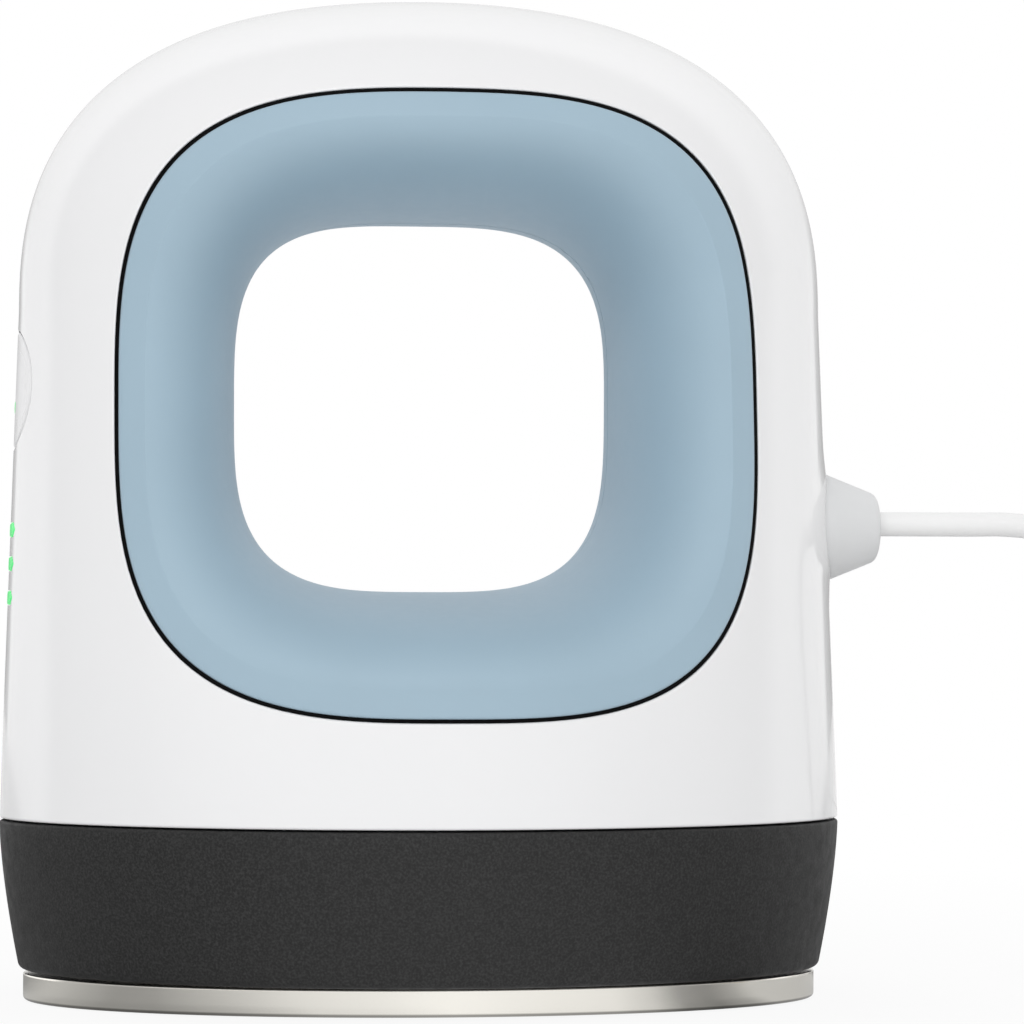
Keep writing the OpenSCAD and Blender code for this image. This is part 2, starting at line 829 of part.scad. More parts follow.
module status_leds() {
    color("greenyellow") {
        for (i = [-1 : 1]) block(-switch_in - led_h, -switch_in, -1, 1,
            bar_z + i * bar_pitch - 0.6, bar_z + i * bar_pitch + 0.6);
        block(-switch_in - led_h, -switch_in, 3.6, 5, bar_z + 8, bar_z + 9.2);
    }
}

// ---- Cord outlet ----

module strain_relief() {
    edge = 0.9;
    color("white") translate([0, 0, outlet_z]) rotate([0, 90, 0]) rotate_extrude() polygon(concat(
        [[0, relief_in], [cord_d, relief_in], [cord_d, relief_flange - 1.2],
         [relief_flange_r, relief_flange - 1.2], [relief_flange_r, relief_flange],
         [relief_d / 2, relief_flange], [relief_d / 2, relief_x]],
        [for (a = [0 : 30 : 90]) [relief_tip_d / 2 - edge * (1 - cos(a)),
            relief_tip - edge * (1 - sin(a))]],
        [[0, relief_tip]]));
}

module at_cord_screws() {
    for (s = [-1, 1]) translate([tower_x + tower_w / 2, s * 3, 0]) children();
}

clamp_bar_t = 1.6;
module cord_clamp() {
    color("gainsboro") difference() {
        block(tower_x, tower_x + tower_w, -tower_y / 2, tower_y / 2, clamp_z,
            clamp_z + cord_d + clamp_bar_t);
        rod_x(tower_x - 1, tower_x + tower_w + 1, cord_d + 2 * run_fit, 0, outlet_z);
        block(tower_x - 1, tower_x + tower_w + 1, -cord_d / 2 - run_fit, cord_d / 2 + run_fit,
            clamp_z - 1, outlet_z);
        at_cord_screws() translate([0, 0, clamp_z - 1])
            cylinder(h = 8, d = cord_screw_d + 2 * hole_fit);
    }
}

module cord_clamp_screws() {
    color("gray") at_cord_screws()
        screw_down(outlet_z + cord_d / 2 + clamp_bar_t, clamp_z - cord_bite, cord_screw_d);
}

module inner_cord() {
    color("white") rod_x(jacket_end, relief_in, cord_d, 0, outlet_z);
}

// ---- Leads ----

lead_d = 1.1;

lead_x = leg_out + 1.2;
live_path = [[jacket_end, 0.65, outlet_z], [lead_x, 1.4, outlet_z - 1.5],
    [lead_x, 2.6, outlet_z - 3.6], [lead_x - 0.4, 3.9, outlet_z - 6.6], [23.2, 5.4, 38],
    [19.5, 6.6, 34], [15.6, 7.4, 31.9], [12.6, terminal_y[1], terminal_z]];
neutral_path = [[jacket_end, -0.65, outlet_z], [lead_x, -1.2, outlet_z - 1.6],
    [lead_x, -1.2, outlet_z - 4], [lead_x, 0.6, outlet_z - 7.5], [lead_x - 0.3, 3.6, 38],
    [22.5, 7.6, 34.6], [18.6, 9.8, 32.4], [15.6, 10.5, 31.6], [12.6, terminal_y[2], terminal_z]];
heater_path = [[5, -stack_depth / 2 + 0.1, neck_top + 0.6], [5, -stack_depth / 2 - 0.8, neck_top + 1.3],
    [4, -shield_depth / 2 - 1, 11], [4, -shield_depth / 2 - 1.2, 17],
    [4, -shield_depth / 2 - 1.2, 23], [4, -shield_depth / 2 - 1, 27], [3.6, -15.6, 30.4],
    [2, -13.4, 31.2], [1, -11.6, 29.6]];
heater_pitch = 4;
sensor_path = [[sensor_x + 1.7, 0, clamp_top + 1.6], [sensor_hole_x, 0.2, clamp_top + 2.6],
    [sensor_hole_x + 0.3, 0.5, 16], [sensor_hole_x + 0.4, 1.2, 19], [12, 2, 20.4]];
sensor_lead_d = 0.8;
switch_path = [[-27.8, 0, 44], [-27, 0, 41], [-26.8, 3, 37], [-25.4, 4.4, 33.6],
    [-22.6, 4.6, 31.4], [-19.6, 4.5, 30.4], [-17, 4.4, 29.4]];
switch_lead_pitch = 1;

module mains_leads() {
    color("black") tube(live_path, lead_d, 6);
    color("white") tube(neutral_path, lead_d, 6);
}

module heater_leads() {
    color("firebrick") {
        tube(heater_path, lead_d, 6);
        tube([for (p = heater_path) p - [heater_pitch, 0, 0]], lead_d, 6);
    }
}

module sensor_leads() {
    color("gold") tube(sensor_path, sensor_lead_d, 6);
}

module switch_leads() {
    color("orange") for (k = [0 : 2])
        tube([for (p = switch_path) p + [0, k * switch_lead_pitch, 0]], sensor_lead_d, 6);
}

// ---- Free cord ----

coil_x = 91.5;
coil_y = 20;
tie_w = 6;
tie_t = 0.8;

// The lead-in runs straight out, bends down, hangs with a lean to the rear, and bends on to the coil
bend_r = 13.5;
lean = 12;
cord_lift = 0.4;
cord_top = bundle + cord_d / 2 - 0.1;
bend_start = [coil_x - coil_d / 2 - bend_r, 0, outlet_z + cord_lift];
hang = [0, sin(lean), -cos(lean)];
hang_len = (bend_start.z - cord_top - bend_r * (1 - sin(lean))) / cos(lean) - bend_r;
hang_end = bend_start + bend_r * [1, 0, 0] + (bend_r + hang_len) * hang;
lead_in = concat(
    [for (s = [0 : 0.25 : 0.75]) [relief_tip + s * (bend_start.x - relief_tip), 0, bend_start.z]],
    [for (a = [0 : 15 : 75]) bend_start + bend_r * [sin(a), 0, 0] + bend_r * (1 - cos(a)) * hang],
    [for (s = [0 : 0.34 : 0.68]) hang_end - (1 - s) * hang_len * hang],
    [for (b = [lean : 13 : 90])
        hang_end + bend_r * [0, cos(lean) - cos(b), sin(lean) - sin(b)]],
    [[coil_x - coil_d / 2, coil_y, cord_top]]);
// The tail rises from the outside of the coil to the plug
tail = [[110.8, 14, 1.5], [110.5, 9, 2.1], [110.5, 4.6, 3.7], [110.5, 1.2, 5.2], [110.5, -2.4, 6],
    [110.5, -4, 6]];

module power_cord() {
    color("white") {
        tube(lead_in, cord_d);
        tube(tail, cord_d);
    }
}

module bundle_outline(grow) {
    side = bundle + 2 * grow;
    corner = 2.5 + grow;
    translate([coil_d / 2, bundle / 2]) offset_square(side, corner);
}

// A square with round corners, as circles and bars
module offset_square(side, corner) {
    square([side - 2 * corner, side], center = true);
    square([side, side - 2 * corner], center = true);
    for (sx = [-1, 1], sy = [-1, 1])
        translate([sx, sy] * (side / 2 - corner)) circle(corner, $fn = 32);
}

module cord_coil() {
    color("white") difference() {
        translate([coil_x, coil_y, 0]) rotate_extrude($fn = 64) bundle_outline(0);
        tie_block();
    }
}

// The space that the tie takes round the bundle
module tie_block() {
    translate([coil_x, coil_y, 0]) rotate([0, 0, 60]) rotate([90, 0, 0])
        translate([0, 0, -tie_w / 2]) linear_extrude(tie_w) difference() {
            translate([coil_d / 2, bundle / 2]) square(bundle + 2, center = true);
            bundle_outline(-tie_t);
        }
}

module cord_tie() {
    color("dimgray") translate([coil_x, coil_y, 0]) rotate([0, 0, 60]) rotate([90, 0, 0])
        translate([0, 0, -tie_w / 2]) linear_extrude(tie_w) difference() {
            bundle_outline(0);
            bundle_outline(-tie_t);
        }
}

plug_x = 110.5;
plug_z = 6;
plug_y = -4;

module plug_body() {
    nose = 6;
    face = 3;
    color("white") {
        hull() {
            translate([plug_x, plug_y, plug_z]) rotate([90, 0, 0])
                cylinder(h = 1, d = cord_d + 3, $fn = 32);
            translate([plug_x, plug_y - nose, plug_z]) rotate([90, 0, 0])
                linear_extrude(1) plug_outline(plug_w - 6, plug_h - 3);
        }
        hull() {
            translate([plug_x, plug_y - nose - 1, plug_z]) rotate([90, 0, 0])
                linear_extrude(0.5) plug_outline(plug_w - 6, plug_h - 3);
            translate([plug_x, plug_y - plug_len + face, plug_z]) rotate([90, 0, 0])
                linear_extrude(face) plug_outline(plug_w, plug_h);
        }
    }
}

module plug_outline(w, h) {
    corner = h / 3;
    square([w - 2 * corner, h], center = true);
    square([w, h - 2 * corner], center = true);
    for (sx = [-1, 1], sy = [-1, 1])
        translate([sx * (w / 2 - corner), sy * (h / 2 - corner)]) circle(corner, $fn = 24);
}

module plug_blades() {
    y = plug_y - plug_len;
    color("goldenrod") for (s = [-1, 1]) difference() {
        block(plug_x + s * blade_pitch / 2 - blade_t / 2, plug_x + s * blade_pitch / 2 + blade_t / 2,
            y - blade_len, y, plug_z - blade_w / 2, plug_z + blade_w / 2);
        rod_x(plug_x + s * blade_pitch / 2 - 2, plug_x + s * blade_pitch / 2 + 2, 3,
            y - blade_len + 3.5, plug_z);
    }
}

heat_plate();
heating_element();
insulation_mat();
clamp_plate();
clamp_screws();
lower_spacers();
heat_shield();
upper_spacers();
plate_screws();
thermal_cutout();
temperature_sensor();
base_skirt();
chassis();
chassis_screws();
control_board();
board_screws();
relay();
transformer();
capacitor();
controller_chip();
terminal_block();
board_fuse();
grip_frame();
frame_screws();
outer_shell();
front_grip();
rear_grip();
front_seal();
rear_seal();
switch_board();
tact_switch();
switch_plunger();
button_guide();
power_button();
button_lens();
light_guide();
status_leds();
strain_relief();
cord_clamp();
cord_clamp_screws();
inner_cord();
mains_leads();
heater_leads();
sensor_leads();
switch_leads();
power_cord();
cord_coil();
cord_tie();
plug_body();
plug_blades();
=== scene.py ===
"""Looks of a mini handheld heat press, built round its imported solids.

Lengths in the classes are in millimetres, and meshes are made in metres in the frame of the
solids: +X towards the cord, +Y to the rear, +Z up, with the hot plate's face at Z = 0.
"""
import json
import logging
import math
from dataclasses import dataclass, field
from enum import Enum
from functools import lru_cache
from typing import Optional, Sequence, Union

import bmesh
import bpy
import numpy as np
from mathutils import Matrix, Vector


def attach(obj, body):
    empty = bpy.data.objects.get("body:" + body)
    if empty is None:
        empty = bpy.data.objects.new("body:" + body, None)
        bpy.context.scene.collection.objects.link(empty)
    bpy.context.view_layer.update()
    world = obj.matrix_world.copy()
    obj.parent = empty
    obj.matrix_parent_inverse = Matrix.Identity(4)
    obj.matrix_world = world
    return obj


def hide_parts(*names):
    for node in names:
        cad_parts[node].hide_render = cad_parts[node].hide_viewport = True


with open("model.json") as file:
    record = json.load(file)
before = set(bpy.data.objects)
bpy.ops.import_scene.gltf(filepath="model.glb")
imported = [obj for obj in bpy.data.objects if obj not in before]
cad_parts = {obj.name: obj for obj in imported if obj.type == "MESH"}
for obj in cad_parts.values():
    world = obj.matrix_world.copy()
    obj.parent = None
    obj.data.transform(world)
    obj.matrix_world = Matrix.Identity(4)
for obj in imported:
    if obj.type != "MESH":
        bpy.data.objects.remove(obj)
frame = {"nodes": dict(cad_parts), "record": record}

MM = 0.001
WELD_M = 2e-6
THIN_M = 1e-7
SHARP_DEG = 38.0
EDGE_STEPS = 5
Array = np.ndarray
Rgb = tuple[float, float, float]
Row = Sequence[Sequence[float]]
Cards = tuple[tuple[float, float], ...]

log = logging.getLogger("heat_press")


def srgb(red: float, green: float, blue: float) -> Rgb:
    """Turn a screen colour into a linear one.

    Args:
        red: Red from 0 to 255.
        green: Green from 0 to 255.
        blue: Blue from 0 to 255.

    Returns:
        The linear colour, each part from 0 to 1.
    """
    parts = [c / 255 for c in (red, green, blue)]
    low, high = 0.04045, 2.4
    red, green, blue = (c / 12.92 if c <= low else ((c + 0.055) / 1.055) ** high for c in parts)
    return (red, green, blue)


class Body(Enum):
    """The moving bodies that pieces ride on."""

    PRESS = "press"
    BUTTON = "button"
    PLUNGER = "plunger"


class Face(Enum):
    """The front and the rear of the press, as the sign of Y."""

    FRONT = -1
    REAR = 1


# ---------------------------------------------------------------------------- materials


class Bench:
    """A material under work, with short ways to add and join its nodes."""

    def __init__(self, name: str) -> None:
        """Start a material with only a surface shader.

        Args:
            name: The material's name.
        """
        self.material = bpy.data.materials.new(name)
        self.material.use_nodes = True
        self.tree = self.material.node_tree
        self.tree.nodes.clear()
        self.out = self.tree.nodes.new("ShaderNodeOutputMaterial")
        self.shader = self.tree.nodes.new("ShaderNodeBsdfPrincipled")
        self.join(self.shader, "BSDF", self.out, "Surface")
        self.place = self.tree.nodes.new("ShaderNodeTexCoord")

    def add(self, kind: str, **values: object) -> bpy.types.Node:
        """Add a node and set its sockets or properties.

        Args:
            kind: The node's type name.
            values: Socket values by name with underscores for spaces, or node properties.

        Returns:
            The new node.
        """
        node = self.tree.nodes.new(kind)
        for key, value in values.items():
            socket = node.inputs.get(key.replace("_", " "))
            if socket is not None:
                socket.default_value = value
            else:
                setattr(node, key, value)
        return node

    def join(self, a: bpy.types.Node, out: object, b: bpy.types.Node, to: object) -> None:
        """Join output out of node a to input to of node b.

        Args:
            a: The node that gives.
            out: Its output's name or number.
            b: The node that takes.
            to: Its input's name or number.
        """
        self.tree.links.new(a.outputs[out], b.inputs[to])

    def set(self, **values: object) -> None:
        """Set sockets of the shader itself.

        Args:
            values: Socket values by name with underscores for spaces.
        """
        for key, value in values.items():
            self.shader.inputs[key.replace("_", " ")].default_value = value

    def noise(self, per_metre: float, detail: float = 4.0,
              stretch: Sequence[float] = (1, 1, 1)) -> bpy.types.Node:
        """Add a noise pattern fixed to the piece.

        Args:
            per_metre: How many waves it has in a metre.
            detail: How many finer layers it has.
            stretch: How much denser it is along each axis.

        Returns:
            The noise node.
        """
        mapping = self.add("ShaderNodeMapping")
        mapping.inputs["Scale"].default_value = stretch
        noise = self.add("ShaderNodeTexNoise", Scale=per_metre, Detail=detail)
        self.join(self.place, "Object", mapping, "Vector")
        self.join(mapping, "Vector", noise, "Vector")
        return noise

    def tint(self, noise: bpy.types.Node, low: Rgb, high: Rgb,
             start: float = 0.3, end: float = 0.7) -> bpy.types.Node:
        """Colour the surface between two shades by a noise.

        Args:
            noise: The noise that picks the shade.
            low: The colour at its low places.
            high: The colour at its high places.
            start: Noise value where low ends.
            end: Noise value where high starts.

        Returns:
            The ramp node, already joined to the shader's colour.
        """
        ramp = self.add("ShaderNodeValToRGB")
        ramp.color_ramp.elements[0].position = start
        ramp.color_ramp.elements[1].position = end
        ramp.color_ramp.elements[0].color = (*low, 1)
        ramp.color_ramp.elements[1].color = (*high, 1)
        self.join(noise, "Fac", ramp, "Fac")
        self.join(ramp, "Color", self.shader, "Base Color")
        return ramp

    def rough(self, noise: bpy.types.Node, low: float, high: float) -> None:
        """Vary the roughness between two values by a noise.

        Args:
            noise: The noise that picks the value.
            low: Roughness at its low places.
            high: Roughness at its high places.
        """
        span = self.add("ShaderNodeMapRange", From_Min=0.3, From_Max=0.7, To_Min=low, To_Max=high)
        self.join(noise, "Fac", span, "Value")
        self.join(span, "Result", self.shader, "Roughness")

    def bump(self, noise: bpy.types.Node, height_mm: float, strength: float = 1.0,
             under: Optional[bpy.types.Node] = None) -> bpy.types.Node:
        """Raise the surface by a noise.

        Args:
            noise: The noise that gives the height.
            height_mm: The height between its low and high places.
            strength: How much of it shows.
            under: A bump that this one lies on.

        Returns:
            The bump node, already joined to the shader.
        """
        bump = self.add("ShaderNodeBump", Strength=strength, Distance=height_mm * MM)
        self.join(noise, 0, bump, "Height")
        if under is not None:
            self.join(under, "Normal", bump, "Normal")
        self.join(bump, "Normal", self.shader, "Normal")
        return bump


def shade(colour: Rgb, share: float) -> Rgb:
    """Return colour times share."""
    return (colour[0] * share, colour[1] * share, colour[2] * share)


@dataclass(frozen=True)
class MouldedPlastic:
    """A moulded plastic with faint flow marks, fine grain and an even gloss."""

    name: str
    colour: Rgb
    gloss: tuple[float, float] = (0.22, 0.3)
    variation: float = 0.03
    grain_mm: float = 0.004
    grain_per_m: float = 2600
    coat: float = 0.0
    specular: float = 0.5
    flow_per_m: float = 38
    patches_per_m: float = 160
    waves_per_m: float = 70
    wave_mm: float = 0.012

    def build(self) -> bpy.types.Material:
        """Make the material.

        Returns:
            The finished material.
        """
        bench = Bench(self.name)
        flow = bench.noise(self.flow_per_m, 3, (1, 1, 0.6))
        bench.tint(flow, shade(self.colour, 1 - self.variation), self.colour)
        bench.rough(bench.noise(self.patches_per_m, 5), *self.gloss)
        waves = bench.bump(bench.noise(self.waves_per_m, 2), self.wave_mm, 0.25)
        bench.bump(bench.noise(self.grain_per_m, 3), self.grain_mm, 0.6, waves)
        bench.set(Specular_IOR_Level=self.specular, IOR=1.5)
        if self.coat:
            bench.set(Coat_Weight=self.coat, Coat_Roughness=0.06, Coat_IOR=1.5)
        return bench.material


@dataclass(frozen=True)
class SoftTouch:
    """A matt rubbery grip with a velvet sheen and a pebbled fine grain."""

    name: str
    colour: Rgb
    sheen: float = 0.15
    gloss: tuple[float, float] = (0.44, 0.52)
    specular: float = 0.38
    clouds_per_m: float = 60
    cloud_share: float = 0.965
    patches_per_m: float = 900
    pebbles_per_m: float = 2400
    pebble_mm: float = 0.008
    grain_per_m: float = 5200
    grain_mm: float = 0.004

    def build(self) -> bpy.types.Material:
        """Make the material.

        Returns:
            The finished material.
        """
        bench = Bench(self.name)
        bench.tint(bench.noise(self.clouds_per_m, 4), shade(self.colour, self.cloud_share),
                   self.colour)
        bench.rough(bench.noise(self.patches_per_m, 4), *self.gloss)
        pebble = bench.add("ShaderNodeTexVoronoi", Scale=self.pebbles_per_m, feature="SMOOTH_F1")
        bench.join(bench.place, "Object", pebble, "Vector")
        pebbles = bench.bump(pebble, self.pebble_mm, 0.35)
        bench.bump(bench.noise(self.grain_per_m, 3), self.grain_mm, 0.4, pebbles)
        bench.set(Sheen_Weight=self.sheen, Sheen_Roughness=0.5, Specular_IOR_Level=self.specular)
        return bench.material


@dataclass(frozen=True)
class SpeckledPlastic:
    """A dark spark-eroded plastic: fine speckle that breaks up the light."""

    name: str
    colour: Rgb
    fleck: Rgb
    gloss: tuple[float, float] = (0.46, 0.62)
    specular: float = 0.28
    flecks_per_m: float = 4200
    patches_per_m: float = 700
    coarse_per_m: float = 2600
    coarse_mm: float = 0.03
    fine_per_m: float = 5200
    fine_mm: float = 0.02

    def build(self) -> bpy.types.Material:
        """Make the material.

        Returns:
            The finished material.
        """
        bench = Bench(self.name)
        bench.tint(bench.noise(self.flecks_per_m, 4), self.colour, self.fleck, 0.4, 0.8)
        bench.rough(bench.noise(self.patches_per_m, 5), *self.gloss)
        coarse = bench.bump(bench.noise(self.coarse_per_m, 4), self.coarse_mm, 0.5)
        bench.bump(bench.noise(self.fine_per_m, 4), self.fine_mm, 0.6, coarse)
        bench.set(Specular_IOR_Level=self.specular)
        return bench.material


@dataclass(frozen=True)
class SatinMetal:
    """A brushed or blasted metal with fine lines along one axis and faint stains, and optionally a
    painted dark reflection along its lowest edge.
    """

    name: str
    colour: Rgb
    gloss: tuple[float, float] = (0.24, 0.34)
    brush: tuple[float, float, float] = (0.04, 0.04, 1.0)
    line_mm: float = 0.004
    lines_per_m: float = 5200
    painted_dark_edge_mm: float = 0.0
    painted_dark_share: float = 0.35
    clouds_per_m: float = 90
    cloud_share: float = 0.97
    patches_per_m: float = 900
    stains_per_m: float = 40

    def build(self) -> bpy.types.Material:
        """Make the material.

        Returns:
            The finished material.
        """
        bench = Bench(self.name)
        tint = bench.tint(bench.noise(self.clouds_per_m, 4), shade(self.colour, self.cloud_share),
                          self.colour)
        # Painted dark reflection: below the given height the base colour is darkened, for the dark
        # that the low bevel mirrors.
        if self.painted_dark_edge_mm:
            height, low = bench.add("ShaderNodeSeparateXYZ"), self.painted_dark_edge_mm * MM
            bench.join(bench.place, "Object", height, "Vector")
            share = bench.add("ShaderNodeMapRange", From_Min=low * 0.6, From_Max=low,
                              To_Min=self.painted_dark_share, To_Max=1.0)
            painted_dark = bench.add("ShaderNodeVectorMath", operation="SCALE")
            bench.join(height, "Z", share, "Value")
            bench.join(tint, "Color", painted_dark, 0)
            bench.join(share, "Result", painted_dark, "Scale")
            bench.join(painted_dark, "Vector", bench.shader, "Base Color")
        bench.rough(bench.noise(self.patches_per_m, 4, self.brush), *self.gloss)
        stain = bench.bump(bench.noise(self.stains_per_m, 2), self.line_mm * 1.5, 0.3)
        bench.bump(bench.noise(self.lines_per_m, 3, self.brush), self.line_mm, 0.5, stain)
        bench.set(Metallic=1.0)
        return bench.material


@dataclass(frozen=True)
class LitLens:
    """A coloured light pipe that glows with faint mottles."""

    name: str
    colour: Rgb
    glow: float = 0.55
    gloss: tuple[float, float] = (0.2, 0.32)
    mottles_per_m: float = 500
    patches_per_m: float = 1800
    ripples_per_m: float = 3000
    ripple_mm: float = 0.003

    def build(self) -> bpy.types.Material:
        """Make the material.

        Returns:
            The finished material.
        """
        bench = Bench(self.name)
        mottle = bench.noise(self.mottles_per_m, 3)
        ramp = bench.tint(mottle, shade(self.colour, 0.8), self.colour)
        bench.join(ramp, "Color", bench.shader, "Emission Color")
        bench.set(Emission_Strength=self.glow)
        bench.rough(bench.noise(self.patches_per_m, 3), *self.gloss)
        bench.bump(bench.noise(self.ripples_per_m, 2), self.ripple_mm, 0.5)
        return bench.material


@dataclass(frozen=True)
class Fibre:
    """A felted or woven inner material with short fibres."""

    name: str
    colour: Rgb
    second: Rgb
    per_m: float = 1400
    gloss: tuple[float, float] = (0.75, 0.92)
    patches_per_m: float = 600
    tuft_mm: float = 0.06

    def build(self) -> bpy.types.Material:
        """Make the material.

        Returns:
            The finished material.
        """
        bench = Bench(self.name)
        along = bench.noise(self.per_m, 5, (1, 0.25, 1))
        bench.tint(along, self.colour, self.second, 0.35, 0.68)
        bench.rough(bench.noise(self.patches_per_m, 3), *self.gloss)
        bench.bump(along, self.tuft_mm, 0.7)
        return bench.material


@dataclass(frozen=True)
class CircuitBoard:
    """A coated circuit board with lighter copper runs under the coat."""

    name: str
    colour: Rgb
    copper: Rgb
    gloss: tuple[float, float] = (0.28, 0.4)
    runs_per_m: float = 160
    run_mm: float = 0.03
    patches_per_m: float = 800

    def build(self) -> bpy.types.Material:
        """Make the material.

        Returns:
            The finished material.
        """
        bench = Bench(self.name)
        runs = bench.add("ShaderNodeTexBrick", Scale=self.runs_per_m, Mortar_Size=0.09, offset=0.37)
        bench.join(bench.place, "Object", runs, "Vector")
        runs.inputs["Color1"].default_value = (*self.colour, 1)
        runs.inputs["Color2"].default_value = (*shade(self.colour, 0.8), 1)
        runs.inputs["Mortar"].default_value = (*self.copper, 1)
        bench.join(runs, "Color", bench.shader, "Base Color")
        bench.rough(bench.noise(self.patches_per_m, 3), *self.gloss)
        bench.bump(runs, self.run_mm, 0.5)
        bench.set(Coat_Weight=0.4, Coat_Roughness=0.15)
        return bench.material


Finish = Union[MouldedPlastic, SoftTouch, SpeckledPlastic, SatinMetal, LitLens, Fibre, CircuitBoard]


@lru_cache(maxsize=None)
def made(finish: Finish) -> bpy.types.Material:
    """Return the finish's material, made once for all the pieces that wear it."""
    return finish.build()


SHELL_WHITE = MouldedPlastic("shell_white", srgb(239, 239, 240), (0.16, 0.21), 0.012, 0.002,
                             coat=0.7)
BUTTON_WHITE = MouldedPlastic("button_white", srgb(238, 238, 239), (0.24, 0.3), 0.015)
RELIEF_WHITE = MouldedPlastic("relief_white", srgb(222, 223, 224), (0.4, 0.48), 0.03, 0.008)
CORD_WHITE = MouldedPlastic("cord_white", srgb(243, 243, 243), (0.42, 0.52), 0.04, 0.01)
GRIP_BLUE = SoftTouch("grip_blue", srgb(162, 186, 201))
# Painted shade: a grey for the ring that darkens the gap round the button.
GAP_SHADE_GREY = MouldedPlastic("gap_shade_grey", srgb(118, 118, 120), (0.55, 0.65), 0.1, 0.01)
SEAL_BLACK = MouldedPlastic("seal_black", srgb(6, 6, 7), (0.6, 0.7), 0.1, 0.01, specular=0.1)
SKIRT_CHARCOAL = SpeckledPlastic("skirt_charcoal", srgb(36, 36, 36), srgb(60, 60, 60))
# The plate's lowest 0.42 mm is painted darker: a painted dark reflection on its bevel.
PLATE_METAL = SatinMetal("plate_metal", srgb(251, 248, 240), (0.15, 0.19), (0.3, 0.3, 1.0), 0.0008,
                         painted_dark_edge_mm=0.42)
BLADE_BRASS = SatinMetal("blade_brass", srgb(214, 200, 160), (0.2, 0.3), (1, 0.05, 1))
LIGHT_GREEN = LitLens("light_green", srgb(66, 214, 112))
TIE_GREY = SoftTouch("tie_grey", srgb(96, 98, 100), 0.3, (0.7, 0.8))
INNER_FINISHES: tuple[Finish, ...] = (
    SatinMetal("steel", srgb(200, 200, 204), (0.28, 0.4)),
    SatinMetal("sheet_metal", srgb(190, 193, 197), (0.3, 0.42), (1, 0.05, 1)),
    Fibre("heater_mica", srgb(196, 170, 126), srgb(222, 204, 168), 900, (0.4, 0.6)),
    Fibre("mat_fibre", srgb(226, 222, 208), srgb(246, 243, 234)),
    MouldedPlastic("spacer_ceramic", srgb(238, 234, 224), (0.3, 0.45), 0.06),
    MouldedPlastic("cutout_black", srgb(38, 36, 36), (0.35, 0.5), 0.15),
    MouldedPlastic("chassis_plastic", srgb(205, 205, 202), (0.4, 0.55), 0.04, 0.01),
    CircuitBoard("board_green", srgb(24, 92, 58), srgb(58, 132, 84)),
    MouldedPlastic("relay_blue", srgb(42, 86, 170), (0.3, 0.4), 0.08),
    Fibre("coil_yellow", srgb(214, 172, 60), srgb(236, 200, 96), 2200, (0.3, 0.5)),
    MouldedPlastic("part_black", srgb(30, 30, 32), (0.35, 0.5), 0.2, 0.01),
    MouldedPlastic("terminal_green", srgb(52, 140, 84), (0.35, 0.45), 0.08),
    MouldedPlastic("fuse_glass", srgb(212, 204, 184), (0.12, 0.2), 0.1),
    MouldedPlastic("lead_red", srgb(176, 44, 38), (0.4, 0.5), 0.08, 0.01),
    MouldedPlastic("lead_black", srgb(34, 34, 36), (0.4, 0.5), 0.15, 0.01),
    MouldedPlastic("lead_yellow", srgb(214, 182, 58), (0.4, 0.5), 0.08, 0.01),
)


# ---------------------------------------------------------------------------- mesh making


def weld(mesh: bpy.types.Mesh, thin: float, outwards: bool = False) -> None:
    """Join a mesh's doubled points and drop its slivers.

    Args:
        mesh: The mesh.
        thin: Edges shorter than this are dropped, in metres.
        outwards: Whether its faces are turned outwards too.
    """
    work = bmesh.new()
    work.from_mesh(mesh)
    bmesh.ops.remove_doubles(work, verts=work.verts, dist=WELD_M)
    bmesh.ops.dissolve_degenerate(work, edges=work.edges, dist=thin)
    if outwards:
        bmesh.ops.recalc_face_normals(work, faces=work.faces)
    work.to_mesh(mesh)
    work.free()


def smooth(mesh: bpy.types.Mesh, sharp_deg: float) -> None:
    """Shade a mesh smooth, but for the edges that bend more than sharp_deg."""
    mesh.shade_smooth()
    mesh.set_sharp_from_angle(angle=math.radians(sharp_deg))


@dataclass
class Mould:
    """Points in millimetres and faces, gathered before they become one mesh."""

    points: list[Array] = field(default_factory=list)
    faces: list[tuple[int, ...]] = field(default_factory=list)
    count: int = 0

    def add_points(self, points: Row) -> int:
        """Add points.

        Args:
            points: The points, in millimetres.

        Returns:
            The number of the first.
        """
        points = np.asarray(points, float).reshape(-1, 3)
        first = self.count
        self.points.append(points)
        self.count += len(points)
        return first

    def loft(self, rows: Sequence[Row], closed: bool = True,
             cap_start: bool = False, cap_end: bool = False) -> None:
        """Join rows of points, each to the next, with quads.

        Args:
            rows: Rows of the same number of points.
            closed: Whether each row is a loop.
            cap_start: Whether the first row is filled with one face.
            cap_end: Whether the last row is filled with one face.
        """
        wide = len(rows[0])
        first = self.add_points(np.concatenate([np.asarray(r, float) for r in rows]))
        steps = wide if closed else wide - 1
        for i in range(len(rows) - 1):
            a, b = first + i * wide, first + (i + 1) * wide
            for j in range(steps):
                k = (j + 1) % wide
                self.faces.append((a + j, a + k, b + k, b + j))
        if cap_start:
            self.faces.append(tuple(range(first + wide - 1, first - 1, -1)))
        if cap_end:
            last = first + (len(rows) - 1) * wide
            self.faces.append(tuple(range(last, last + wide)))

    def piece(self, name: str, sharp_deg: float = SHARP_DEG) -> bpy.types.Object:
        """Make the object, with doubled points joined and faces turned outwards.

        Args:
            name: The piece's name.
            sharp_deg: Edges that bend more than this are sharp.

        Returns:
            The new object, linked to the scene.
        """
        mesh = bpy.data.meshes.new(name)
        mesh.from_pydata((np.concatenate(self.points) * MM).tolist(), [], self.faces)
        weld(mesh, THIN_M, outwards=True)
        smooth(mesh, sharp_deg)
        piece = bpy.data.objects.new(name, mesh)
        bpy.context.scene.collection.objects.link(piece)
        return piece


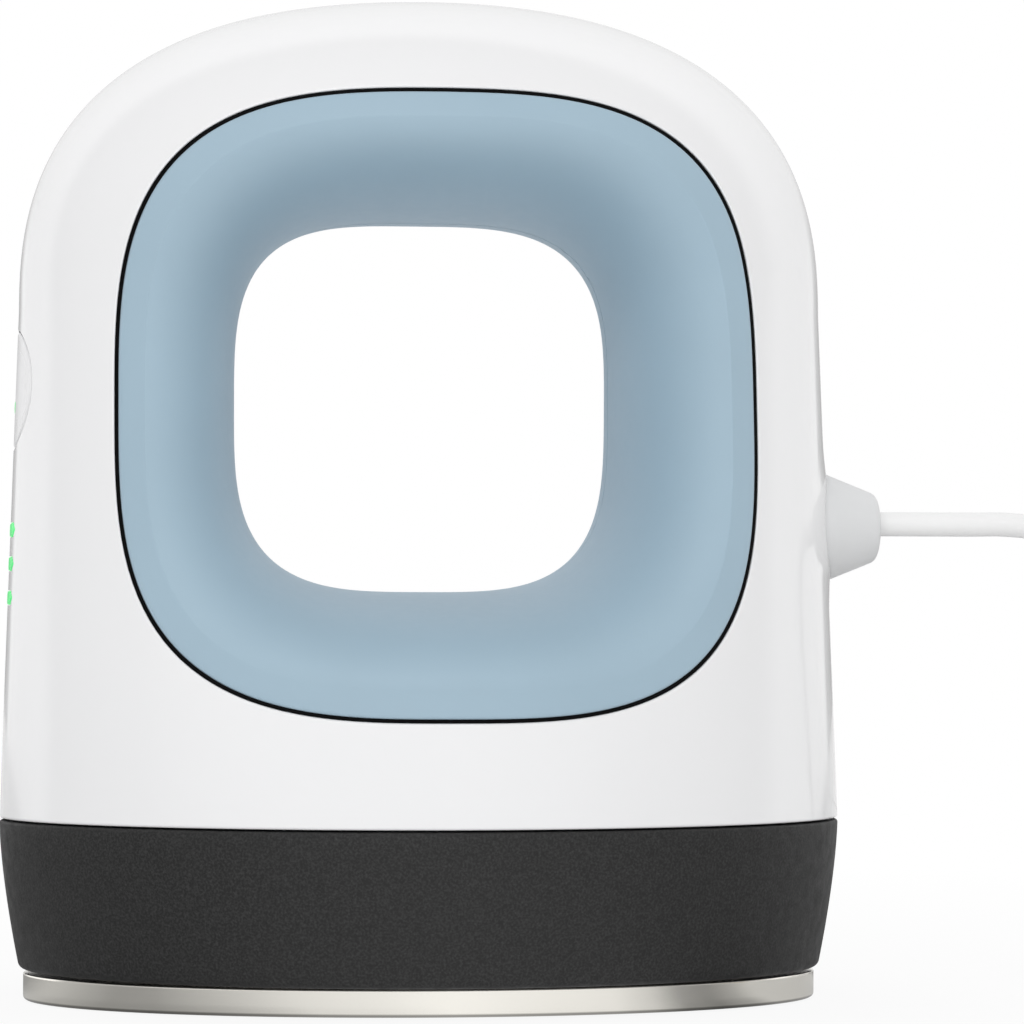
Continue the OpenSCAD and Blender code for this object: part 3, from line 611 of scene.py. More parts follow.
def turned(profile: Sequence[Sequence[float]], origin: Sequence[float], along: Sequence[float],
           steps: int = 64) -> list[Array]:
    """Turn a profile round an axis.

    Args:
        profile: Pairs of distance along the axis and radius.
        origin: Where the axis starts.
        along: The axis' direction.
        steps: Points in a turn.

    Returns:
        A row of points for each pair.
    """
    axis = np.array(Vector(along).normalized())
    side = np.array(Vector(along).orthogonal().normalized())
    other = np.cross(axis, side)
    angles = spread_turns(steps)
    ring = np.outer(np.cos(angles), side) + np.outer(np.sin(angles), other)
    return [np.array(origin) + axis * d + ring * max(r, 1e-4) for d, r in profile]


def quarter(count: int) -> Array:
    """Return count angles from 0 to a quarter turn."""
    return np.linspace(0, math.pi / 2, count)


def spread_turns(count: int) -> Array:
    """Return count angles of a full turn, from 0."""
    return np.linspace(0, 2 * math.pi, count, endpoint=False)


def rounded(radius: float, steps: int = EDGE_STEPS) -> list[tuple[float, float]]:
    """Return a rounded edge, from the first side to the second.

    Args:
        radius: Its radius.
        steps: How many points it has.

    Returns:
        Pairs of how far each point lies in from the first side and from the second.
    """
    return [(radius * (1 - math.cos(a)), radius * (1 - math.sin(a))) for a in quarter(steps)]


def closed_loft(name: str, rows: Sequence[Row], sharp_deg: float = SHARP_DEG) -> bpy.types.Object:
    """Make a piece from rings whose last one joins the first.

    Args:
        name: The piece's name.
        rows: Its rings of points.
        sharp_deg: Edges that bend more than this are sharp.

    Returns:
        The new object.
    """
    mould = Mould()
    mould.loft([*rows, rows[0]])
    return mould.piece(name, sharp_deg)


def solid_loft(name: str, rows: Sequence[Row], sharp_deg: float = SHARP_DEG) -> bpy.types.Object:
    """Make a piece from rings that are filled at both ends.

    Args:
        name: The piece's name.
        rows: Its rings of points.
        sharp_deg: Edges that bend more than this are sharp.

    Returns:
        The new object.
    """
    mould = Mould()
    mould.loft(rows, cap_start=True, cap_end=True)
    return mould.piece(name, sharp_deg)


def cut(piece: bpy.types.Object, tools: Sequence[bpy.types.Object],
        sharp_deg: float = SHARP_DEG) -> None:
    """Cut solids out of a piece, and delete them.

    Args:
        piece: The piece that is cut.
        tools: The closed solids to take away.
        sharp_deg: Edges that bend more than this are sharp afterwards.
    """
    for tool in tools:
        change = piece.modifiers.new("cut", "BOOLEAN")
        change.operation, change.solver, change.object = "DIFFERENCE", "EXACT", tool
    seen = bpy.context.evaluated_depsgraph_get()
    mesh = bpy.data.meshes.new_from_object(piece.evaluated_get(seen))
    weld(mesh, WELD_M)
    piece.modifiers.clear()
    piece.data = mesh
    for tool in tools:
        bpy.data.objects.remove(tool)
    smooth(mesh, sharp_deg)


def fit_out(piece: bpy.types.Object, finish: Finish, nodes: Sequence[str] = (),
            body: Body = Body.PRESS, slot: str = "") -> bpy.types.Object:
    """Give a piece its material and body, and let it stand for its solids.

    Args:
        piece: The finished piece.
        finish: Its finish.
        nodes: The solids that it replaces.
        body: The body that it rides on.
        slot: The record's material slot, where it isn't the finish's own; not used.

    Returns:
        The same piece.
    """
    piece.data.materials.clear()
    piece.data.materials.append(made(finish))
    slot = slot or finish.name
    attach(piece, body.value)
    if nodes:
        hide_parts(*nodes)
    log.info("%s: rides on %s, %s", piece.name, body.value,
             "stands for " + ", ".join(nodes) if nodes else "added")
    return piece


# ---------------------------------------------------------------------------- body outline


@dataclass(frozen=True)
class BodyForm:
    """The outline and the sizes that shell, skirt, grips and both ends share.

    Lengths run along X and depths along Y. The body tapers straight from its seam to the heights
    at which its domes start. Fields that end in _n are exponents of superellipses.
    """

    top: float = 103.48
    seam_len: float = 87.6
    seam_depth: float = 63.0
    shoulder_len: float = 84.0
    shoulder_depth: float = 48.0
    end_dome_z: float = 71.0
    face_dome_z: float = 74.5
    seam_z: float = 18.5
    plan_n: float = 1.9
    dome_n: float = 2.5
    window_w: float = 65.2
    window_h: float = 63.2
    window_z: float = 60.6
    window_n: float = 3.2
    throat_w: float = 39.4
    throat_h: float = 38.6
    throat_z: float = 61.4
    throat_n: float = 3.4
    shell_wall: float = 2.2
    side_gap: float = 0.3
    button_z: float = 62.9
    outlet_z: float = 49.0

    def _dome(self, z: Array, start: float, top: float) -> Array:
        """Return the share of a width left at z under a dome from start to top."""
        rise = np.clip((np.asarray(z, float) - start) / (top - start), 0, 1)
        return (1 - rise ** self.dome_n) ** (1 / self.dome_n)

    def _slope(self, z: Array, start: float, low: float, high: float) -> Array:
        """Return the width at z on the straight taper from low at the seam to high at start."""
        return low + (high - low) * (np.minimum(z, start) - self.seam_z) / (start - self.seam_z)

    def half_len(self, z: Array, inset: float = 0.0) -> Array:
        """Return half the body's length at z, drawn in by inset."""
        half = self._slope(z, self.end_dome_z, self.seam_len, self.shoulder_len) / 2 - inset
        return half * self._dome(z, self.end_dome_z, self.top - inset)

    def half_dep(self, z: Array, inset: float = 0.0) -> Array:
        """Return half the body's depth at z, drawn in by inset."""
        half = self._slope(z, self.face_dome_z, self.seam_depth, self.shoulder_depth) / 2 - inset
        return half * self._dome(z, self.face_dome_z, self.top - inset)

    def face_y(self, x: Array, z: Array, inset: float = 0.0) -> Array:
        """Return how far the face lies from the middle plane at x and z."""
        share = np.clip(np.abs(x) / np.maximum(self.half_len(z, inset), 1e-9), 0, 1)
        return self.half_dep(z, inset) * (1 - share ** self.plan_n) ** (1 / self.plan_n)

    def end_x(self, y: Array, z: Array, inset: float = 0.0) -> Array:
        """Return how far an end lies from the middle at y and z."""
        share = np.clip(np.abs(y) / np.maximum(self.half_dep(z, inset), 1e-9), 0, 1)
        return self.half_len(z, inset) * (1 - share ** self.plan_n) ** (1 / self.plan_n)

    @staticmethod
    def oval(a: float, b: float, n: float, turns: Array) -> Array:
        """Return points of a superellipse.

        Args:
            a: Half its width.
            b: Half its height.
            n: Its squareness.
            turns: The parameter's angles in radians.

        Returns:
            An array of two columns.
        """
        c, s = np.cos(turns), np.sin(turns)
        return np.stack([a * np.sign(c) * np.abs(c) ** (2 / n),
                         b * np.sign(s) * np.abs(s) ** (2 / n)], 1)

    def window(self, turns: Array, grow: float = 0.0) -> Array:
        """Return X and Z of the window's outline, grown by grow."""
        p = self.oval(self.window_w / 2 + grow, self.window_h / 2 + grow, self.window_n, turns)
        return p + [0, self.window_z]

    def throat(self, turns: Array, grow: float = 0.0) -> Array:
        """Return X and Z of the finger hole's outline, grown by grow."""
        p = self.oval(self.throat_w / 2 + grow, self.throat_h / 2 + grow, self.throat_n, turns)
        return p + [0, self.throat_z]

    def normal(self, points: Array) -> tuple[Array, Array]:
        """Return the outline's own normals, and how far off it each point lies.

        Args:
            points: Points in millimetres.

        Returns:
            Unit normals, and the outline's value, 0 on the surface.
        """
        def value(p: Array) -> Array:
            """Return the outline's value at points p."""
            return ((np.abs(p[:, 0]) / np.maximum(self.half_len(p[:, 2]), 1e-6)) ** self.plan_n
                    + (np.abs(p[:, 1]) / np.maximum(self.half_dep(p[:, 2]), 1e-6)) ** self.plan_n)
        step = 0.02
        slopes = np.stack([value(points + step * axis) - value(points - step * axis)
                           for axis in np.eye(3)], 1)
        long = np.maximum(np.linalg.norm(slopes, axis=1, keepdims=True), 1e-12)
        return slopes / long, value(points) - 1


# ---------------------------------------------------------------------------- outer shell


@dataclass
class OuterShell:
    """The white shell: an upside-down cup with a window in front and rear.

    Its last three fields pick the corners that are shaded by the exact outline: how near it they
    lie, how well their face agrees with it, and how far below the top they stay.
    """

    form: BodyForm
    gap: float = 0.2
    edge_r: float = 0.3
    side_steps: int = 22
    dome_steps: int = 44
    seam_steps: int = 64
    rows: int = 40
    fan_from: float = 8.0
    button_hole: float = 12.6
    button_cut: tuple[float, float] = (-60, -30)
    slot_fit: float = 0.08
    outlet_hole: float = 11.7
    outlet_cut: tuple[float, float] = (36, 60)
    hole_steps: int = 96
    flare: float = 0.56
    flare_r: float = 9.5
    on_skin: float = 4e-4
    same_way: float = 0.8
    crown: float = 0.4

    def _rim(self, low: float, inset: float) -> tuple[Array, int]:
        """Return the shell's outer boundary in X and Z, from the left corner anticlockwise.

        Args:
            low: Height of its lower edge.
            inset: How far it is drawn in.

        Returns:
            The points, with the seam's first, and the number of the seam's points.
        """
        form = self.form
        run = np.linspace(-math.pi / 2, math.pi / 2, self.seam_steps + 1)
        seam = np.stack([form.half_len(low, inset) * np.sin(run), np.full(len(run), low)], 1)
        side_z = np.linspace(low, form.end_dome_z, self.side_steps + 1)[1:]
        side = np.stack([form.half_len(side_z, inset), side_z], 1)
        lift = np.linspace(0, math.pi / 2, self.dome_steps + 1)[1:]
        dome_z = form.end_dome_z + (form.top - inset - form.end_dome_z) * np.sin(lift) ** (
            2 / form.dome_n)
        half = (form.shoulder_len / 2 - inset) * np.cos(lift) ** (2 / form.dome_n)
        right = np.concatenate([side, np.stack([half, dome_z], 1)])
        left = right[:-1][::-1] * [-1, 1]
        return np.concatenate([seam, right, left]), len(seam)

    def _skin(self, mould: Mould, face: Face, low: float, inset: float,
              start: Sequence[tuple[float, float]]) -> list[Array]:
        """Add one side of the outer or inner skin.

        Args:
            mould: Where its faces go.
            face: Front or rear.
            low: Height of its lower edge.
            inset: 0 for the outer skin, the wall for the inner one.
            start: Rows of the rounded window edge, as pairs of growth and depth.

        Returns:
            Its rows of points, from the window out.
        """
        form = self.form
        rim, seam_count = self._rim(low, inset)
        centre = np.array([0, form.window_z])
        reach = np.linalg.norm(rim - centre, axis=1)
        way = (rim - centre) / reach[:, None]
        window_r = ((np.abs(way[:, 0]) / (form.window_w / 2)) ** form.window_n
                    + (np.abs(way[:, 1]) / (form.window_h / 2)) ** form.window_n) ** (
                        -1 / form.window_n)
        end_y = form.face_y(rim[:, 0], rim[:, 1], inset)
        end_y[seam_count:] = 0
        even = np.clip(end_y / self.fan_from, 0, 1)
        rows = []
        first = start[-1][0] if start else 0.0
        for grow, deep in list(start)[:-1]:
            p = centre + way * (window_r + grow)[:, None]
            rows.append((p, form.face_y(p[:, 0], p[:, 1], inset) - deep))
        for f in np.linspace(0, 1, self.rows + 1):
            share = (1 - even) * math.sin(f * math.pi / 2) + even * f
            p = centre + way * (window_r + first + (reach - window_r - first) * share)[:, None]
            y = form.face_y(p[:, 0], p[:, 1], inset)
            if f == 1:
                p, y = rim, end_y
            rows.append((p, y))
        solid = [np.stack([p[:, 0], face.value * y, p[:, 1]], 1) for p, y in rows]
        mould.loft(solid)
        return solid

    def _level(self, z: float, inset: float) -> Array:
        """Return the closed ring of seam points at one height.

        Args:
            z: The height.
            inset: How far the ring is drawn in.

        Returns:
            The ring's points.
        """
        run = np.linspace(-math.pi / 2, math.pi / 2, self.seam_steps + 1)
        x = self.form.half_len(z, inset) * np.sin(run)
        y = self.form.face_y(x, z, inset)
        y[0] = y[-1] = 0
        front = np.stack([x, -y, np.full(len(x), z)], 1)
        rear = front[1:-1][::-1] * [1, -1, 1]
        return np.concatenate([front, rear])

    def _skin_mesh(self) -> Mould:
        """Return the whole shell before its holes are cut.

        Returns:
            The mould with all the shell's faces.
        """
        mould, low, wall = Mould(), self.form.seam_z + self.gap, self.form.shell_wall
        round_off = rounded(self.edge_r)
        for face in Face:
            outer = self._skin(mould, face, low + self.edge_r, 0.0, round_off)
            inner = self._skin(mould, face, low, wall, [])
            mould.loft([outer[0], inner[0]])
        edge = [self._level(low + up, inset) for inset, up in round_off]
        mould.loft([*edge, self._level(low, wall)])
        return mould

    def _flare_out(self, piece: bpy.types.Object) -> None:
        """Swell the shell softly round the cord's outlet.

        Args:
            piece: The shell.
        """
        for v in piece.data.vertices:
            x, y, z = (c / MM for c in v.co)
            off = math.hypot(y, z - self.form.outlet_z) / self.flare_r
            if x > 0 and off < 1:
                v.co.x += self.flare * MM * (1 - off * off) ** 2

    def _true_normals(self, piece: bpy.types.Object) -> None:
        """Shade the outer skin by its exact outline.

        Args:
            piece: The shell, already cut.
        """
        mesh = piece.data
        corners, faces = len(mesh.loops), len(mesh.polygons)
        verts = np.zeros(len(mesh.vertices) * 3)
        mesh.vertices.foreach_get("co", verts)
        index = np.zeros(corners, np.int64)
        mesh.loops.foreach_get("vertex_index", index)
        own = np.zeros(corners * 3)
        mesh.corner_normals.foreach_get("vector", own)
        flat, size = np.zeros(faces * 3), np.zeros(faces, np.int64)
        mesh.polygons.foreach_get("normal", flat)
        mesh.polygons.foreach_get("loop_total", size)
        flat = np.repeat(flat.reshape(-1, 3), size, axis=0)
        own = own.reshape(-1, 3)
        spots = verts.reshape(-1, 3)[index] / MM
        exact, off = self.form.normal(spots)
        use = ((np.abs(off) < self.on_skin) & ((exact * flat).sum(1) > self.same_way)
               & (spots[:, 2] < self.form.top - self.crown))
        own[use] = exact[use]
        mesh.normals_split_custom_set(own.tolist())

    def build(self, bars: "ButtonEnd") -> bpy.types.Object:
        """Make the shell.

        Args:
            bars: The button end, which gives the shapes of the light slots.

        Returns:
            The finished piece.
        """
        piece = self._skin_mesh().piece("shell")
        self._flare_out(piece)
        tools = []
        for (x0, x1), z, d in ((self.button_cut, self.form.button_z, self.button_hole),
                               (self.outlet_cut, self.form.outlet_z, self.outlet_hole)):
            profile = [(0, d / 2), (x1 - x0, d / 2)]
            rows = turned(profile, (x0, 0, z), (1, 0, 0), self.hole_steps)
            tools.append(solid_loft("hole", rows))
        for i in (-1, 0, 1):
            outline = bars.bar_outline(i, self.slot_fit)
            rows = [[(x, y, z) for y, z in outline] for x in self.button_cut]
            tools.append(solid_loft("slot", rows))
        cut(piece, tools)
        self._true_normals(piece)
        return fit_out(piece, SHELL_WHITE, ["outer_shell"])


# ---------------------------------------------------------------------------- grips


@dataclass
class GripPair:
    """The blue liners of the windows, which meet in the finger hole, and their seals.

    Each liner rolls out of the finger hole to a crease, and a flat band runs from there to the
    seal. A flange behind the shell holds it.
    """

    form: BodyForm
    seal_w: float = 0.34
    seal_recess: float = 0.3
    seal_crown: float = 0.06
    band_w: float = 2.6
    band_rows: int = 5
    edge_r: float = 0.3
    crease_w: float = 0.08
    crease_turn: float = 0.015
    wall: float = 2.2
    run_fit: float = 0.05
    flange_w: float = 2.0
    flange_t: float = 1.2
    inner_lap: float = 1.0
    mid_gap: float = 0.1
    roll_rows: int = 30
    inner_turns: tuple[float, ...] = (77, 63, 50, 37, 24, 12, 0)
    steps: int = 216

    def _rim(self, face: Face, grow: float, inset: float, deep: float) -> Array:
        """Return a ring on or under the shell's surface round the window.

        Args:
            face: Front or rear.
            grow: Growth of the window's outline.
            inset: Inset of the surface.
            deep: How far under that surface.

        Returns:
            The ring's points.
        """
        p = self.form.window(spread_turns(self.steps), grow)
        y = self.form.face_y(p[:, 0], p[:, 1], inset) - deep
        return np.stack([p[:, 0], face.value * y, p[:, 1]], 1)

    def _roll(self, face: Face, f: float, wall: float) -> Array:
        """Return a ring of the roll, from the throat at 0 to the flat band at a quarter turn.

        Args:
            face: Front or rear.
            f: The angle in radians.
            wall: 0 for the outside, the wall for the inside.

        Returns:
            The ring's points.
        """
        turns = spread_turns(self.steps)
        rim = self.form.window(turns, -self.seal_w - self.band_w)
        throat = self.form.throat(turns, wall)
        y = self.form.face_y(rim[:, 0], rim[:, 1]) - wall
        p = throat + (rim - throat) * (1 - math.cos(f))
        y = self.mid_gap + (y - self.mid_gap) * math.sin(f)
        return np.stack([p[:, 0], face.value * y, p[:, 1]], 1)

    def _grip(self, face: Face) -> bpy.types.Object:
        """Return one grip.

        Args:
            face: Front or rear.

        Returns:
            The finished piece.
        """
        edge, crease = -self.seal_w - self.run_fit, -self.seal_w - self.band_w
        turns = quarter(self.roll_rows)
        rows = [self._roll(face, f, 0.0) for f in (*turns[:-1], turns[-1] - self.crease_turn)]
        band = np.linspace(crease, edge - self.edge_r, self.band_rows)
        rows += [self._rim(face, g, 0.0, 0.0) for g in (crease, crease + self.crease_w, *band[1:])]
        rows += [self._rim(face, edge - side, 0.0, deep) for deep, side in rounded(self.edge_r)[1:]]
        near, far = self.form.side_gap, self.form.side_gap + self.flange_t
        rows += [self._rim(face, grow, self.form.shell_wall, deep) for grow, deep in
                 ((edge, near), (self.flange_w, near), (self.flange_w, far),
                  (edge - self.inner_lap, far))]
        rows += [self._roll(face, f, self.wall) for f in np.radians(self.inner_turns)]
        return closed_loft(f"grip_{face.name.lower()}", rows, 30)

    def _seal(self, face: Face) -> bpy.types.Object:
        """Return one seal.

        Args:
            face: Front or rear.

        Returns:
            The finished piece.
        """
        low, wall = self.seal_recess, self.form.shell_wall
        rows = [self._rim(face, grow, inset, deep) for grow, inset, deep in
                ((-self.seal_w, 0.0, low), (-self.seal_w / 2, 0.0, low - self.seal_crown),
                 (-self.run_fit, 0.0, low), (-self.run_fit, wall, 0.0),
                 (-self.seal_w, wall, 0.0))]
        return closed_loft(f"seal_{face.name.lower()}", rows)

    def build(self) -> list[bpy.types.Object]:
        """Make both grips and both seals.

        Returns:
            The finished pieces.
        """
        pieces = []
        for face in Face:
            side = face.name.lower()
            pieces += [fit_out(self._grip(face), GRIP_BLUE, [f"{side}_grip"]),
                       fit_out(self._seal(face), SEAL_BLACK, [f"{side}_seal"])]
        return pieces


# ---------------------------------------------------------------------------- hot end


@dataclass
class HotEnd:
    """The charcoal skirt and the hot plate under it.

    The plate's rows are insets of its face from the rim, heights of its side, and pairs of depth
    and inset at its top edge.
    """

    form: BodyForm
    skirt_z: float = 3.2
    draw: float = 2.1
    draw_power: float = 1.5
    floor: float = 2.0
    wall: float = 3.0
    chamfer: float = 0.6
    seam_r: float = 0.3
    side_rows: int = 14
    hole_gap: float = 1.2
    lip_h: float = 2.3
    lip_t: float = 1.6
    lip_in: float = 2.5
    lip_root: float = 4.0
    post_x: float = 40.0
    post_y: float = 39.2
    post_d: float = 6.0
    post_foot: float = 1.0
    screw_d: float = 2.3
    screw_deep: float = 10.0
    chassis_z: float = 21.0
    plate_len: float = 82.55
    plate_depth: float = 48.8
    plate_t: float = 2.8
    neck_len: float = 68.0
    neck_depth: float = 35.0
    neck_top: float = 6.2
    bevel: float = 0.5
    bevel_rise: float = 0.9
    face_insets: tuple[float, ...] = (12, 6, 3, 1.4)
    side_heights: tuple[float, ...] = (1.1, 1.7, 2.2)
    top_edge: tuple[tuple[float, float], ...] = (
        (0.25, 0.0), (0.14, 0.0), (0.04, 0.04), (0.0, 0.14), (0.0, 0.3))
    steps: int = 216

    def _skirt_ring(self, z: float, inset: float) -> Array:
        """Return the skirt's ring at one height.

        Args:
            z: The height.
            inset: How far the ring is drawn in.

        Returns:
            The ring's points.
        """
        below = max(0.0, self.form.seam_z - z) / (self.form.seam_z - self.skirt_z)
        drawn = self.draw * below ** self.draw_power
        p = self.form.oval(self.form.seam_len / 2 - drawn - inset,
                           self.form.seam_depth / 2 - drawn - inset,
                           self.form.plan_n, spread_turns(self.steps))
        return np.column_stack([p, np.full(len(p), z)])

    def _ellipse(self, length: float, depth: float, z: float, inset: float = 0.0) -> Array:
        """Return an ellipse's ring at height z, drawn in by inset."""
        p = self.form.oval(length / 2 - inset, depth / 2 - inset, 2, spread_turns(self.steps))
        return np.column_stack([p, np.full(len(p), z)])

    def _level(self, z: float, inset: float) -> Array:
        """Return the body's ring at one height.

        Args:
            z: The height.
            inset: How far the ring is drawn in.

        Returns:
            The ring's points.
        """
        p = self.form.oval(self.form.half_len(z, inset), self.form.half_dep(z, inset),
                           self.form.plan_n, spread_turns(self.steps))
        return np.column_stack([p, np.full(len(p), z)])

    def _skirt(self) -> bpy.types.Object:
        """Return the skirt with its lip and posts.

        Returns:
            The new object.
        """
        low, top = self.skirt_z, self.form.seam_z
        hole = (self.neck_len + self.hole_gap, self.neck_depth + self.hole_gap)
        floor_top, root, lip_back = low + self.floor, top - self.lip_root, self.lip_in + self.lip_t
        rows = [self._ellipse(*hole, low)]
        rows += [self._skirt_ring(low + up, inset) for up, inset in rounded(self.chamfer, 6)]
        side = np.linspace(low + self.chamfer, top - self.seam_r, self.side_rows)
        rows += [self._skirt_ring(z, 0) for z in side[1:]]
        rows += [self._skirt_ring(top - down, inset) for inset, down in rounded(self.seam_r)[1:]]
        rows += [self._level(top, self.lip_in), self._level(top + self.lip_h, self.lip_in),
                 self._level(top + self.lip_h, lip_back), self._skirt_ring(root, lip_back),
                 self._skirt_ring(root, self.wall), self._skirt_ring(floor_top, self.wall),
                 self._ellipse(*hole, floor_top)]
        mould = Mould()
        mould.loft(rows + [rows[0]])
        foot = low + self.post_foot
        tall, post_r, screw_r = self.chassis_z - foot, self.post_d / 2, self.screw_d / 2
        profile = [(0, post_r), (tall, post_r), (tall, screw_r), (tall - self.screw_deep, screw_r)]
        for x in (-self.post_x / 2, self.post_x / 2):
            for y in (-self.post_y / 2, self.post_y / 2):
                mould.loft(turned(profile, (x, y, foot), (0, 0, 1), 32),
                           cap_start=True, cap_end=True)
        return mould.piece("skirt")

    def _plate(self) -> bpy.types.Object:
        """Return the plate with its bevelled edge and its neck.

        Returns:
            The new object.
        """
        whole = (self.plate_len, self.plate_depth)
        rows = [self._ellipse(2, 1.2, 0.0)]
        rows += [self._ellipse(*whole, 0.0, inset) for inset in (*self.face_insets, self.bevel)]
        rows += [self._ellipse(*whole, up * self.bevel_rise, inset)
                 for up, inset in rounded(self.bevel)[1:]]
        rows += [self._ellipse(*whole, z) for z in self.side_heights]
        rows += [self._ellipse(*whole, self.plate_t - down, inset) for down, inset in self.top_edge]
        rows += [self._ellipse(self.neck_len, self.neck_depth, z)
                 for z in (self.plate_t, self.neck_top)]
        return solid_loft("hot_plate", rows)

    def build(self) -> list[bpy.types.Object]:
        """Make the skirt and the plate.

        Returns:
            The finished pieces.
        """
        return [fit_out(self._skirt(), SKIRT_CHARCOAL, ["base_skirt"]),
                fit_out(self._plate(), PLATE_METAL, ["heat_plate"])]


# ---------------------------------------------------------------------------- button end


@dataclass
class ButtonEnd:
    """The power button with its light, and the three status lights under it.

    light_rows and bar_rows are pairs of share of the outline and depth under the surface.
    """

    form: BodyForm
    button_d: float = 12.0
    soft_r: float = 0.3
    face_rows: int = 14
    flange_lap: float = 0.9
    flange_t: float = 0.8
    travel: float = 0.5
    stem_d: float = 4.0
    stem_tail: float = 1.4
    light_d: float = 1.5
    light_drop: float = 1.8
    light_rows: tuple[tuple[float, float], ...] = ((0.7, -0.03), (0.3, -0.05))
    ring_in: float = 0.06
    ring_out: float = 0.26
    ring_deep: float = 0.12
    ring_tall: float = 0.5
    bar_w: float = 6.8
    bar_h: float = 1.4
    bar_pitch: float = 3.5
    bar_z: float = 44.9
    bar_proud: float = 0.06
    bar_root: float = 5.2
    bar_rows: tuple[tuple[float, float], ...] = ((1.0, 0.12), (0.9, 0.02), (0.5, 0.0), (0.02, 0.0))
    bar_steps: int = 7
    turn_steps: int = 96

    def _places(self) -> dict[str, float]:
        """Return where the button's hidden parts lie.

        Returns:
            The flange's radius, and distances from the middle from the outside in.
        """
        form, flange_r = self.form, self.button_d / 2 + self.flange_lap
        flange_out = float(form.end_x(flange_r, form.button_z, form.shell_wall)) - form.side_gap
        flange_in = flange_out - self.flange_t
        return {"flange_r": flange_r, "flange_out": flange_out, "flange_in": flange_in,
                "stem_in": flange_in - self.travel - form.side_gap - self.stem_tail}

    def bar_outline(self, i: int, grow: float) -> list[tuple[float, float]]:
        """Return Y and Z of one status light, with pointed ends.

        Args:
            i: -1, 0 or 1 for the lower, middle or upper light.
            grow: How far it is grown.

        Returns:
            The outline's points.
        """
        w, h = self.bar_w / 2 + grow, self.bar_h / 2 + grow
        z = self.bar_z + i * self.bar_pitch
        return [(y, z + dz) for y, dz in
                ((-w, 0), (-w + h, -h), (w - h, -h), (w, 0), (w - h, h), (-w + h, h))]

    def _flush_ring(self, r: float, deep: float, z: float) -> Array:
        """Return a ring of the end's own surface.

        Args:
            r: The ring's radius, seen along X.
            deep: How far it lies under the surface.
            z: The height of its middle.

        Returns:
            The ring's points, in step with those of a turned profile.
        """
        ring = turned([(0, r)], (0, 0, z), (-1, 0, 0), self.turn_steps)[0]
        ring[:, 0] = deep - self.form.end_x(ring[:, 1], ring[:, 2])
        return ring

    def _cap(self) -> bpy.types.Object:
        """Return the button: a cap flush with the shell, with a soft edge, a flange and a stem.

        Returns:
            The new object.
        """
        at, r, z = self._places(), self.button_d / 2, self.form.button_z
        profile = [(at["stem_in"], 0.0), (at["stem_in"], self.stem_d / 2),
                   (at["flange_in"], self.stem_d / 2), (at["flange_in"], at["flange_r"]),
                   (at["flange_out"], at["flange_r"]), (at["flange_out"], r)]
        rows = turned(profile, (0, 0, z), (-1, 0, 0), self.turn_steps)
        rows += [self._flush_ring(r - side, deep, z) for side, deep in rounded(self.soft_r, 6)]
        rows += [self._flush_ring(q, 0.0, z)
                 for q in np.linspace(r - self.soft_r, 0.02, self.face_rows)[1:]]
        mould = Mould()
        mould.loft(rows, cap_end=True)
        return mould.piece("button_cap", 30)

    def _gap_shade_ring(self) -> bpy.types.Object:
        """Return a fine grey ring in the gap between the button and the shell: painted shade that
        darkens the gap.

        Returns:
            The new object.
        """
        inner, outer = (self.button_d / 2 + off for off in (self.ring_in, self.ring_out))
        top, foot = self.ring_deep, self.ring_deep + self.ring_tall
        rows = [self._flush_ring(r, deep, self.form.button_z) for r, deep in
                ((outer, foot), (outer, top), (inner, top), (inner, foot))]
        return closed_loft("button_gap_shade", rows, 30)

    def _light(self) -> bpy.types.Object:
        """Return the button's small domed light.

        Returns:
            The new object.
        """
        root, r = self._places()["flange_in"], self.light_d / 2
        z = self.form.button_z - self.light_drop
        rows = turned([(root, 0.0), (root, r)], (0, 0, z), (-1, 0, 0), self.turn_steps)
        dome = [(r * share, deep) for share, deep in self.light_rows]
        rows += [self._flush_ring(q, deep, z)
                 for q, deep in ((r, 0.05), (r - 0.05, 0.0), *dome, (0.01, dome[-1][1]))]
        mould = Mould()
        mould.loft(rows, cap_end=True)
        return mould.piece("button_light", 34)

    def _bars(self) -> bpy.types.Object:
        """Return the three status lights, whose faces follow the shell.

        Returns:
            The new object.
        """
        mould = Mould()
        back = float(self.form.end_x(0, self.bar_z)) - self.bar_root
        for i in (-1, 0, 1):
            rows, mid = [], self.bar_z + i * self.bar_pitch
            outline = self.bar_outline(i, 0.0)
            edge = [(y0 + (y1 - y0) * s, z0 + (z1 - z0) * s)
                    for (y0, z0), (y1, z1) in zip(outline, outline[1:] + outline[:1])
                    for s in np.linspace(0, 1, self.bar_steps)[:-1]]
            for scale, deep in ((1.0, None), *self.bar_rows):
                ring = []
                for y, z in edge:
                    y, z = y * scale, mid + (z - mid) * scale
                    front = float(self.form.end_x(y, z)) + self.bar_proud
                    ring.append((-back if deep is None else deep - front, y, z))
                rows.append(ring)
            mould.loft(rows, cap_start=True, cap_end=True)
        return mould.piece("status_bars")

    def build(self) -> list[bpy.types.Object]:
        """Make the button, its light, the ring of painted shade in its gap and the status lights.

        Returns:
            The finished pieces.
        """
        return [fit_out(self._cap(), BUTTON_WHITE, ["power_button"], Body.BUTTON),
                # The grey ring in the button's gap is painted shade.
                fit_out(self._gap_shade_ring(), GAP_SHADE_GREY, slot=SEAL_BLACK.name),
                fit_out(self._light(), LIGHT_GREEN, ["button_lens"], Body.BUTTON),
                fit_out(self._bars(), LIGHT_GREEN, ["light_guide"])]


# ---------------------------------------------------------------------------- cord


